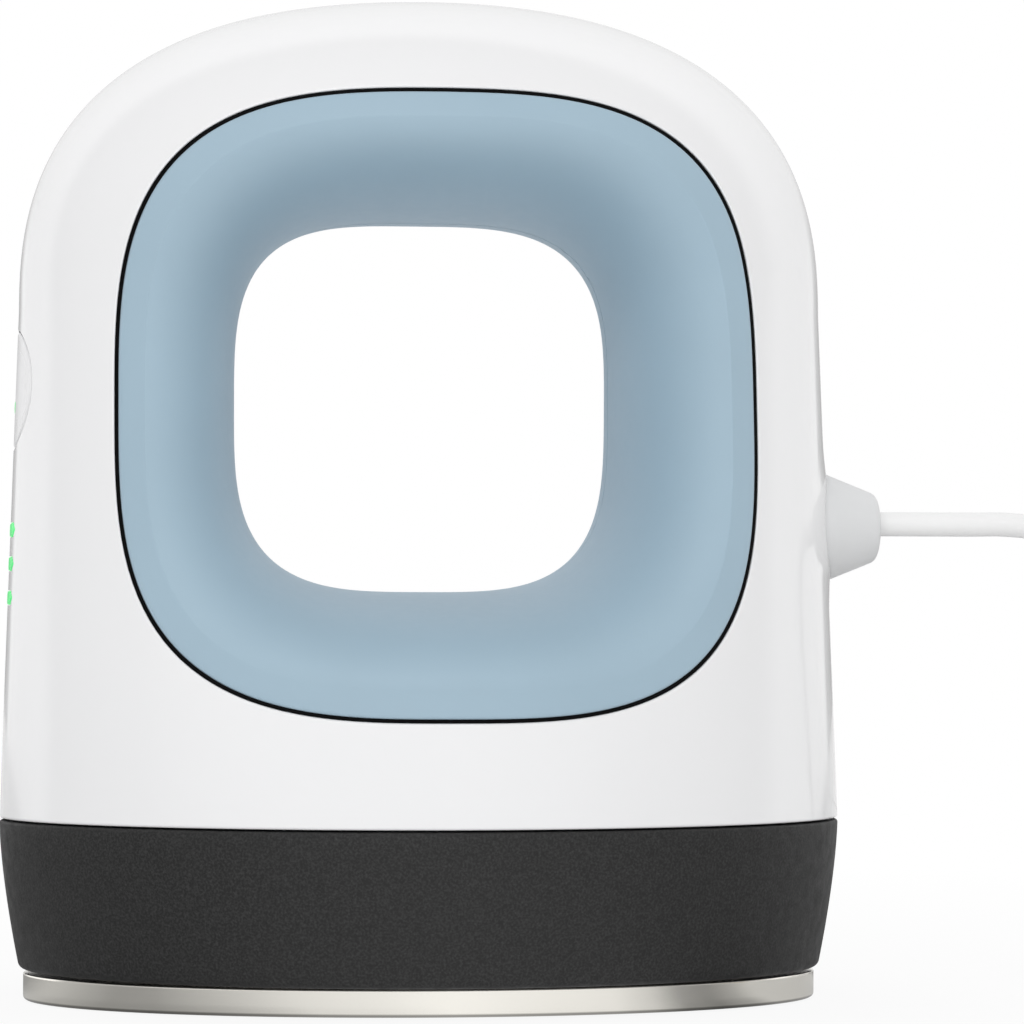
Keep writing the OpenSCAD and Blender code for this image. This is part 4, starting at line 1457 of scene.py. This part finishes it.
@dataclass
class CordSet:
    """The strain relief, the thin mains cord with its tied coil, and the plug.

    collar is how far inside the shell its tail, the back and the front of its flange lie. moves is
    when, in each turn, the cord crosses to its next slot and when it drops, as start and length.
    blade_edge is pairs of how far in a row lies from a blade's side, and how much it is shrunk.
    """

    form: BodyForm
    cord_d: float = 2.6
    relief_d: float = 11.4
    relief_tip_d: float = 7.6
    relief_len: float = 5.5
    relief_tip_r: float = 0.9
    tip_steps: int = 7
    collar_lap: float = 1.0
    collar: tuple[float, float, float] = (6.0, 3.6, 2.6)
    bend_r: float = 13.5
    lean_deg: float = 12.0
    lift: float = 0.4
    coil_at: tuple[float, float] = (91.5, 20.0)
    coil_r: float = 15.5
    slot_pitch: float = 2.65
    slot_low: float = 1.4
    layers: int = 4
    points_a_turn: int = 20
    moves: tuple[tuple[float, float], tuple[float, float]] = ((0.0, 0.6), (0.55, 0.45))
    squeeze: float = 0.035
    squeeze_deg: float = 30.0
    tie_angle: float = 60.0
    tie_w: float = 6.0
    tie_t: float = 0.4
    tie_r: float = 0.25
    tie_bend_r: float = 2.5
    buckle: tuple[float, float, float] = (5.0, 3.6, 0.8)
    bundle: float = 11.0
    plug_at: tuple[float, float, float] = (110.5, -4.0, 6.0)
    plug_len: float = 24.0
    ribs: int = 5
    rib_pitch: float = 1.9
    rib_widen: float = 0.35
    blade_pitch: float = 12.7
    blade_len: float = 16.5
    blade_w: float = 6.35
    blade_t: float = 1.5
    blade_tip_r: float = 1.5
    blade_root: float = 3.0
    blade_hole_r: float = 1.5
    blade_hole_at: float = 3.5
    blade_edge: tuple[tuple[float, float], ...] = ((0.0, 0.25), (0.12, 0.08), (0.3, 0.0))

    def tip(self) -> float:
        """Return the distance from the middle at which the strain relief ends."""
        return float(self.form.half_len(self.form.outlet_z)) + self.relief_len

    def _relief(self) -> bpy.types.Object:
        """Return the tapered collar, hollow at its end for the cord.

        Returns:
            The new object.
        """
        tip = self.tip()
        base, bore, soft = tip - self.relief_len, self.cord_d / 2, self.relief_tip_r
        r, t = self.relief_d / 2, self.relief_tip_d / 2
        lean = math.atan((r - t) / (tip - soft / 2 - base))
        tip_turns = np.linspace(lean, math.pi / 2, self.tip_steps)
        cone_len = tip - soft + soft * math.sin(lean) - base
        slope = (r - t + soft * (1 - math.cos(lean))) / cone_len
        tail, back, front = (base - off for off in self.collar)
        wide = r + self.collar_lap
        profile = [(tail, bore), (tail, bore * 2), (back, bore * 2), (back, wide), (front, wide),
                   (front, r), (base, r)]
        profile += [(base + d, r - slope * d) for d in np.linspace(0.6, cone_len, 6)[:-1]]
        profile += [(tip - soft + soft * math.sin(a), t - soft * (1 - math.cos(a)))
                    for a in tip_turns]
        profile += [(tip, bore + 0.45), (tip - 0.15, bore + 0.2), (tip - 0.5, bore + 0.02),
                    (tip - 2.5, bore)]
        rows = turned(profile, (0, 0, self.form.outlet_z), (1, 0, 0), 72)
        return closed_loft("relief", rows, 32)

    def _lead_in(self) -> Array:
        """Return the route from the strain relief to the top of the coil.

        Returns:
            Points of a straight run, a bend down, a leaning drop and a bend on to the coil.
        """
        r, lean = self.bend_r, math.radians(self.lean_deg)
        top = self.bundle + self.cord_d / 2 - 0.1
        start = np.array([self.coil_at[0] - self.coil_r - r, 0, self.form.outlet_z + self.lift])
        ahead, hang = np.array([1.0, 0, 0]), np.array([0, math.sin(lean), -math.cos(lean)])
        drop = (start[2] - top - r * (1 - math.sin(lean))) / math.cos(lean) - r
        end = start + r * ahead + (r + drop) * hang
        inner = self.tip() - 1.2
        points = [start + ahead * s * (inner - start[0]) for s in (1, 0.75, 0.5, 0.25)]
        points += [start + r * math.sin(a) * ahead + r * (1 - math.cos(a)) * hang
                   for a in np.radians(range(0, 90, 15))]
        points += [end - (1 - s) * drop * hang for s in (0, 0.34, 0.68)]
        points += [end + r * np.array([0, math.cos(lean) - math.cos(b),
                                       math.sin(lean) - math.sin(b)])
                   for b in np.radians(range(12, 91, 13))]
        return np.array(points)

    def _route(self) -> list[tuple[float, float, float]]:
        """Return the cord's whole route, from the strain relief to the plug.

        Returns:
            Its points, in millimetres.
        """
        half = (self.layers - 1) / 2
        slots = [(self.coil_r + (k - half) * self.slot_pitch, z) for z, order in
                 ((3, (1, 0)), (2, (0, 1, 2, 3)), (1, (3, 2, 1, 0)), (0, (0, 1, 2, 3)))
                 for k in order]
        slots = [(r, self.slot_low + z * self.slot_pitch) for r, z in slots]
        slots = [(self.coil_r, self.bundle + self.cord_d / 2 - 0.1)] + slots
        coil = []
        whole = len(slots) - 0.5
        for i in range(int(whole * self.points_a_turn) + 1):
            turn = i / self.points_a_turn
            k = min(int(turn), len(slots) - 1)
            (r, z), (r2, z2) = slots[k], slots[min(k + 1, len(slots) - 1)]
            across, down = (min(max((turn - k - begin) / long, 0.0), 1.0)
                            for begin, long in self.moves)
            r += (r2 - r) * across * across * (3 - 2 * across)
            z += (z2 - z) * down * down * (3 - 2 * down)
            angle = math.pi - turn * 2 * math.pi
            off = (math.degrees(angle) - self.tie_angle + 180) % 360 - 180
            held = self.squeeze * math.exp(-(off / self.squeeze_deg) ** 2)
            squeeze = 1 - held if z < self.bundle else 1.0
            r = self.coil_r + (r - self.coil_r) * squeeze
            z = self.bundle / 2 + (z - self.bundle / 2) * squeeze
            coil.append((self.coil_at[0] + r * math.cos(angle),
                         self.coil_at[1] + r * math.sin(angle), z))
        x, y, z = self.plug_at
        tail = [(x + 0.3, 14, 1.5), (x, 9, 2.1), (x, 4.6, 3.7), (x, 1.2, 5.2), (x, -2.4, z),
                (x, y - 1.5, z)]
        return list(self._lead_in()) + coil + tail

    def _cord(self) -> bpy.types.Object:
        """Return the cord as one round smooth line.

        Returns:
            The new object, a curve.
        """
        line = bpy.data.curves.new("mains_cord", "CURVE")
        line.dimensions = "3D"
        line.bevel_depth = self.cord_d / 2 * MM
        line.bevel_resolution = 5
        line.resolution_u = 5
        line.use_fill_caps = True
        spline = line.splines.new("BEZIER")
        route = self._route()
        spline.bezier_points.add(len(route) - 1)
        for knot, place in zip(spline.bezier_points, route):
            knot.co = Vector(place) * MM
            knot.handle_left_type = knot.handle_right_type = "AUTO"
        cord = bpy.data.objects.new("mains_cord", line)
        bpy.context.scene.collection.objects.link(cord)
        return cord

    @staticmethod
    def _round_box(w: float, h: float, r: float, steps: int = 6) -> list[tuple[float, float]]:
        """Return the outline of a rectangle with round corners.

        Args:
            w: Its width.
            h: Its height.
            r: The corners' radius.
            steps: Points in a corner.

        Returns:
            The outline's points.
        """
        out = []
        for k, (sx, sy) in enumerate(((1, 1), (-1, 1), (-1, -1), (1, -1))):
            for a in quarter(steps):
                turn = a + k * math.pi / 2
                out.append((sx * (w / 2 - r) + r * math.cos(turn),
                            sy * (h / 2 - r) + r * math.sin(turn)))
        return out

    def _tie(self) -> bpy.types.Object:
        """Return the band round the coil, with a rounded cross-section and a small buckle.

        Returns:
            The new object.
        """
        mould, turn = Mould(), math.radians(self.tie_angle)
        out = np.array([math.cos(turn), math.sin(turn), 0])
        side = np.array([-math.sin(turn), math.cos(turn), 0])
        centre = np.array([*self.coil_at, 0]) + out * self.coil_r + [0, 0, self.bundle / 2]
        rows = []
        w, t, r = self.tie_w / 2, self.tie_t, self.tie_r
        section = [(-w + r, 0.0), (-w, -r), (-w, -t + r), (-w + r, -t),
                   (w - r, -t), (w, -t + r), (w, -r), (w - r, 0.0)]
        for along, deep in section + section[:1]:
            size = self.bundle + 2 * deep
            ring = [centre + out * a + np.array([0, 0, b]) + side * along
                    for a, b in self._round_box(size, size, self.tie_bend_r + deep, 8)]
            rows.append(ring)
        mould.loft(rows)
        wide, high, bend = self.buckle
        buckle = [[centre + out * (self.bundle / 2 - 0.2 + h) + np.array([0, 0, b]) + side * a
                   for a, b in self._round_box(wide - h, high - h, bend, 4)]
                  for h in (-0.4, 0.15)]
        mould.loft(buckle, cap_start=True, cap_end=True)
        return mould.piece("coil_tie", 30)

    def _plug(self) -> bpy.types.Object:
        """Return the plug's body: a waisted grip with ribs, and a ribbed neck for the cord.

        Returns:
            The new object.
        """
        x, y, z = self.plug_at
        stations = [(0.0, 5.4, 5.4, 2.6), (0.4, 5.6, 5.6, 2.7), (2.2, 6.2, 6.0, 2.6),
                    (2.4, 5.6, 5.4, 2.4), (3.0, 5.8, 5.6, 2.4), (3.2, 7.0, 6.4, 2.6),
                    (4.2, 7.6, 6.8, 2.6), (4.4, 7.0, 6.2, 2.4), (5.0, 7.6, 6.6, 2.4),
                    (5.4, 11.0, 8.0, 3.2), (6.6, 15.0, 9.0, 3.6), (9, 17.4, 9.6, 3.8)]
        for k in range(self.ribs):
            at, more = 10 + k * self.rib_pitch, k * self.rib_widen
            stations += [(at, 17.4 + more, 9.7, 3.6), (at + 0.3, 16.8 + more, 9.1, 3.4),
                         (at + 0.9, 16.8 + more, 9.1, 3.4), (at + 1.2, 17.7 + more, 9.9, 3.6)]
        stations += [(20.2, 20.4, 11.4, 3.9), (20.9, 21.8, 11.9, 4.0), (21.6, 22.0, 12.0, 4.0),
                     (23.4, 22.0, 12.0, 4.0), (23.8, 21.6, 11.6, 3.8), (24.0, 20.8, 10.8, 3.4)]
        rows = [[(x + a, y - d, z + b) for a, b in self._round_box(w, h, min(r, h / 2.05), 9)]
                for d, w, h, r in stations]
        return solid_loft("plug", rows, 34)

    def _blades(self) -> bpy.types.Object:
        """Return the plug's two flat blades, each with a hole and a rounded tip.

        Returns:
            The new object.
        """
        x, y, z = self.plug_at
        mould, holes, root = Mould(), [], y - self.plug_len + self.blade_root
        tip = y - self.plug_len - self.blade_len
        w, t, r, hole_r = self.blade_w / 2, self.blade_t / 2, self.blade_tip_r, self.blade_hole_r
        outline = [(root, -w), (root, w)]
        outline += [(tip + r - r * math.sin(a), w - r + r * math.cos(a)) for a in quarter(7)]
        outline += [(tip + r - r * math.cos(a), -w + r - r * math.sin(a)) for a in quarter(7)]
        edge = [(off - t, shrink) for off, shrink in self.blade_edge]
        edge += [(-dx, shrink) for dx, shrink in edge[::-1]]
        for mid in (x - self.blade_pitch / 2, x + self.blade_pitch / 2):
            rows = [[(mid + dx, tip + shrink + (b - tip) * (1 - shrink / self.blade_len),
                      z + c * (1 - shrink / w)) for b, c in outline] for dx, shrink in edge]
            mould.loft(rows, cap_start=True, cap_end=True)
            rows = turned([(0, hole_r), (4, hole_r)], (mid - 2, tip + self.blade_hole_at, z),
                          (1, 0, 0), 32)
            holes.append(solid_loft("hole", rows))
        piece = mould.piece("plug_prongs", 30)
        cut(piece, holes, 30)
        return piece

    def build(self) -> list[bpy.types.Object]:
        """Make the strain relief, the cord, its tie and its plug.

        Returns:
            The finished pieces.
        """
        relief = fit_out(self._relief(), RELIEF_WHITE, ["strain_relief"])
        cord = fit_out(self._cord(), CORD_WHITE, ["power_cord", "cord_coil"])
        tie = fit_out(self._tie(), TIE_GREY, ["cord_tie"])
        plug = fit_out(self._plug(), CORD_WHITE, ["plug_body"])
        prongs = fit_out(self._blades(), BLADE_BRASS, ["plug_blades"])
        route = np.array([p.co for p in cord.data.splines[0].bezier_points])
        length = float(np.linalg.norm(np.diff(route, axis=0), axis=1).sum())
        log.info("cord route: %.3f m", length)
        self.tip() * MM
        return [relief, cord, tie, plug, prongs]


# ---------------------------------------------------------------------------- insides


@dataclass
class Insides:
    """The inner solids, which keep their shapes and get real materials."""

    def build(self, record: dict, nodes: dict[str, bpy.types.Object]) -> int:
        """Give each inner solid the material of its slot.

        Args:
            record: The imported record, which names each node's slot.
            nodes: The solids by name.

        Returns:
            How many solids were dressed.
        """
        shown = (SHELL_WHITE, BUTTON_WHITE, RELIEF_WHITE, CORD_WHITE, GRIP_BLUE, SEAL_BLACK,
                 SKIRT_CHARCOAL, PLATE_METAL, BLADE_BRASS, LIGHT_GREEN, TIE_GREY)
        finishes = {finish.name: finish for finish in shown + INNER_FINISHES}
        count = 0
        for part in record["subparts"]:
            node = nodes[part["node"]]
            if node.hide_render:
                continue
            slot = part["material_slot"]
            node.data.materials.clear()
            node.data.materials.append(made(finishes[slot]))
            count += 1
            log.info("%s: solid kept, finished as %s", node.name, slot)
        return count


# ---------------------------------------------------------------------------- studio


@dataclass(frozen=True)
class SoftLamp:
    """A soft rectangular lamp, with its sizes in metres."""

    name: str
    place: tuple[float, float, float]
    size: tuple[float, float]
    watts: float
    mirrored: bool
    target: tuple[float, float, float] = (0, 0, 0.055)

    def build(self) -> bpy.types.Object:
        """Add the lamp to the scene, facing its target.

        Returns:
            The lamp.
        """
        data = bpy.data.lights.new(self.name, "AREA")
        data.shape = "RECTANGLE"
        data.size, data.size_y = self.size
        data.energy = self.watts
        lamp = bpy.data.objects.new(self.name, data)
        lamp.location = self.place
        lamp.visible_glossy = self.mirrored
        way = Vector(self.target) - Vector(self.place)
        lamp.rotation_euler = way.to_track_quat("-Z", "Y").to_euler()
        bpy.context.scene.collection.objects.link(lamp)
        return lamp


@dataclass
class Studio:
    """The camera, the lamps, the bright surroundings and the pale floor.

    Cards are greys by angle: soft ones for scattered light, and low and high ones for what glossy
    surfaces mirror near the horizon and above it. high_from is the rise of a ray at which the high
    ones begin and the one at which they take over. The table is what those surfaces mirror of the
    floor, and the shadow fields are how far from the press its shadow fades and how much shows.
    """

    turn_deg: float = -6.324
    yaw_deg: float = -5.75
    pitch_deg: float = -1.785
    roll_deg: float = -0.084
    away_mm: float = 422.4
    height_mm: float = 37.31
    focal_px: float = 4040.4
    picture_px: float = 1024.0
    shift_x: float = 0.1282
    sensor_mm: float = 36.0
    soft: float = 1.28
    soft_cards: Cards = ((0, 1.0), (30, 1.0), (46, 0.48), (70, 0.43), (96, 0.71), (140, 0.86),
                         (180, 0.7))
    cards_turn_deg: float = -8.0
    shine: float = 1.12
    cards: Cards = ((0, 0.83), (35, 0.75), (60, 0.42), (95, 0.42), (104, 1.0), (145, 1.0),
                    (149, 0.34), (166, 0.34), (171, 0.85))
    high_cards: Cards = ((0, 0.83), (35, 0.75), (60, 0.42), (95, 0.42), (104, 1.0), (145, 0.8),
                         (180, 0.7))
    high_from: tuple[float, float] = (0.08, 0.24)
    table_turn_deg: float = -90.0
    table: Cards = ((0, 0.46), (10, 0.38), (22, 0.25), (32, 0.26), (48, 0.48), (62, 0.74),
                    (92, 1.0), (128, 0.84), (136, 0.62), (142, 0.27), (149, 0.17), (156, 0.32),
                    (161, 0.55), (180, 0.5))
    floor_half: float = 3000.0
    floor_z: float = -0.05
    shadow_m: tuple[float, float] = (0.05, 0.25)
    shadow_share: float = 0.9
    lamps: tuple[SoftLamp, ...] = (
        SoftLamp("top_strip", (-0.15, -0.7, 0.8), (0.9, 0.25), 1.3, True),
        SoftLamp("front_box", (-0.2, -1.2, 0.45), (1.2, 0.9), 2.5, False))

    def camera(self) -> bpy.types.Object:
        """Make the camera at the photograph's place.

        Returns:
            The camera.
        """
        turn, yaw, pitch, roll = (math.radians(a) for a in (
            self.turn_deg, self.yaw_deg, self.pitch_deg, self.roll_deg))
        place = Vector((math.sin(turn) * self.away_mm, -math.cos(turn) * self.away_mm,
                        self.height_mm)) * MM
        ahead = Vector((-math.sin(yaw) * math.cos(pitch), math.cos(yaw) * math.cos(pitch),
                        -math.sin(pitch)))
        right = Vector((math.cos(yaw), math.sin(yaw), 0))
        up = right.cross(ahead)
        right, up = (right * math.cos(roll) - up * math.sin(roll),
                     right * math.sin(roll) + up * math.cos(roll))
        data = bpy.data.cameras.new("photo_camera")
        data.sensor_width = self.sensor_mm
        data.lens = self.focal_px * self.sensor_mm / self.picture_px
        data.shift_x = self.shift_x
        data.clip_start, data.clip_end = 0.01, 50
        camera = bpy.data.objects.new("photo_camera", data)
        axes = Matrix((right, up, -ahead)).transposed()
        camera.matrix_world = Matrix.Translation(place) @ axes.to_4x4()
        bpy.context.scene.collection.objects.link(camera)
        bpy.context.scene.camera = camera
        return camera

    @staticmethod
    def ring_of_cards(tree: bpy.types.NodeTree, turn_deg: float, cards: Cards) -> bpy.types.Node:
        """Add a grey that depends on the angle from a level axis through the middle.

        Args:
            tree: The node tree of a world or a material.
            turn_deg: How far the axis is turned from the front, towards +X.
            cards: Pairs of angle from the axis and grey.

        Returns:
            The ramp node that gives the grey.
        """
        add, link = tree.nodes.new, tree.links.new
        place, level, front, halve, ramp = (
            add(f"ShaderNode{kind}") for kind in
            ("TexCoord", "VectorMath", "VectorMath", "MapRange", "ValToRGB"))
        level.operation, front.operation = "NORMALIZE", "DOT_PRODUCT"
        turn = math.radians(turn_deg)
        front.inputs[1].default_value = (math.sin(turn), -math.cos(turn), 0)
        halve.inputs["From Min"].default_value, halve.inputs["From Max"].default_value = 1, -1
        link(place.outputs["Object"], level.inputs[0])
        link(level.outputs["Vector"], front.inputs[0])
        link(front.outputs["Value"], halve.inputs["Value"])
        link(halve.outputs["Result"], ramp.inputs["Fac"])
        while len(ramp.color_ramp.elements) < len(cards):
            ramp.color_ramp.elements.new(0.5)
        for element, (angle, grey) in zip(ramp.color_ramp.elements, cards):
            element.position = (1 - math.cos(math.radians(angle))) / 2
            element.color = (grey, grey, grey, 1)
        return ramp

    def surroundings(self) -> None:
        """Make a white background and a plain pale light, with grey cards for reflections.

        Glossy surfaces mirror the low cards near the horizon and the high cards above it.
        """
        world = bpy.data.worlds.new("studio")
        bpy.context.scene.world = world
        world.use_nodes = True
        tree = world.node_tree
        tree.nodes.clear()
        add, link = tree.nodes.new, tree.links.new
        out, rays, seen = (add(f"ShaderNode{kind}")
                           for kind in ("OutputWorld", "LightPath", "Math"))
        seen.operation = "MAXIMUM"
        shown, pick = add("ShaderNodeMixShader"), add("ShaderNodeMixShader")
        shades = {}
        for name, strength in (("white", 1.0), ("soft", self.soft), ("glossy", self.shine)):
            shades[name] = add("ShaderNodeBackground")
            shades[name].inputs["Color"].default_value = (1, 1, 1, 1)
            shades[name].inputs["Strength"].default_value = strength
        soft, low, high = (self.ring_of_cards(tree, self.cards_turn_deg, cards).outputs["Color"]
                           for cards in (self.soft_cards, self.cards, self.high_cards))
        place, axes, height, blend = (add(f"ShaderNode{kind}") for kind in
                                      ("TexCoord", "SeparateXYZ", "MapRange", "MixRGB"))
        for key, value in zip(("From Min", "From Max"), self.high_from):
            height.inputs[key].default_value = value
        link(place.outputs["Generated"], axes.inputs[0])
        link(axes.outputs["Z"], height.inputs["Value"])
        link(height.outputs["Result"], blend.inputs["Fac"])
        link(low, blend.inputs["Color1"])
        link(high, blend.inputs["Color2"])
        link(soft, shades["soft"].inputs["Color"])
        link(blend.outputs["Color"], shades["glossy"].inputs["Color"])
        link(rays.outputs["Is Camera Ray"], seen.inputs[0])
        link(rays.outputs["Is Transmission Ray"], seen.inputs[1])
        link(rays.outputs["Is Glossy Ray"], shown.inputs[0])
        link(shades["soft"].outputs[0], shown.inputs[1])
        link(shades["glossy"].outputs[0], shown.inputs[2])
        link(seen.outputs[0], pick.inputs[0])
        link(shown.outputs[0], pick.inputs[1])
        link(shades["white"].outputs[0], pick.inputs[2])
        link(pick.outputs[0], out.inputs["Surface"])

    def floor(self) -> bpy.types.Object:
        """Make the pale floor, white to the camera, with the object's faint shadow.

        Returns:
            The floor.
        """
        mould = Mould()
        ticks = np.linspace(-self.floor_half, self.floor_half, 13)
        mould.loft([[(x, y, self.floor_z) for x in ticks] for y in ticks], closed=False)
        floor = mould.piece("floor")
        bench = Bench("floor_white")
        tree, link = bench.tree, bench.tree.links.new
        bench.tint(bench.noise(6, 2), (0.8, 0.8, 0.8), (0.82, 0.82, 0.82))
        bench.set(Roughness=0.9, Specular_IOR_Level=0.1)
        rays, mix = bench.add("ShaderNodeLightPath"), bench.add("ShaderNodeMixShader")
        glow, tone = bench.add("ShaderNodeEmission", Strength=1.0), bench.add("ShaderNodeMixRGB")
        share, seen = (bench.add("ShaderNodeMath", operation=kind)
                       for kind in ("MULTIPLY", "MAXIMUM"))
        away = bench.add("ShaderNodeVectorMath", operation="LENGTH")
        near, far = self.shadow_m
        fade = bench.add("ShaderNodeMapRange", From_Min=near, From_Max=far,
                         To_Min=self.shadow_share, To_Max=1.0)
        cards = self.ring_of_cards(tree, self.table_turn_deg, self.table)
        tone.inputs["Color2"].default_value = (1, 1, 1, 1)
        link(cards.outputs["Color"], tone.inputs["Color1"])
        link(rays.outputs["Is Camera Ray"], tone.inputs["Fac"])
        link(tone.outputs["Color"], glow.inputs["Color"])
        link(bench.place.outputs["Object"], away.inputs[0])
        link(away.outputs["Value"], fade.inputs["Value"])
        link(fade.outputs["Result"], share.inputs[1])
        link(rays.outputs["Is Camera Ray"], seen.inputs[0])
        link(rays.outputs["Is Glossy Ray"], seen.inputs[1])
        link(seen.outputs[0], share.inputs[0])
        link(share.outputs[0], mix.inputs[0])
        link(bench.shader.outputs[0], mix.inputs[1])
        link(glow.outputs[0], mix.inputs[2])
        link(mix.outputs[0], bench.out.inputs["Surface"])
        floor.data.materials.append(bench.material)
        return floor

    def build(self) -> None:
        """Make the camera, the light and the floor."""
        self.camera()
        self.surroundings()
        self.floor()
        for lamp in self.lamps:
            lamp.build()
        view = bpy.context.scene.view_settings
        view.view_transform = "Standard"
        log.info("studio: camera, floor, two soft lamps and white surroundings")


def main() -> None:
    """Build the press in order, and report each piece."""
    logging.basicConfig(level=logging.INFO, format="%(name)s %(message)s", force=True)
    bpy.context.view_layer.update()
    form = BodyForm()
    Studio().build()
    pieces = CordSet(form).build()
    button_end = ButtonEnd(form)
    pieces.append(OuterShell(form).build(button_end))
    pieces += GripPair(form).build()
    pieces += HotEnd(form).build()
    pieces += button_end.build()
    inner = Insides().build(frame["record"], frame["nodes"])
    log.info("%d pieces built, %d inner solids finished", len(pieces), inner)


if __name__ == "__main__":
    main()
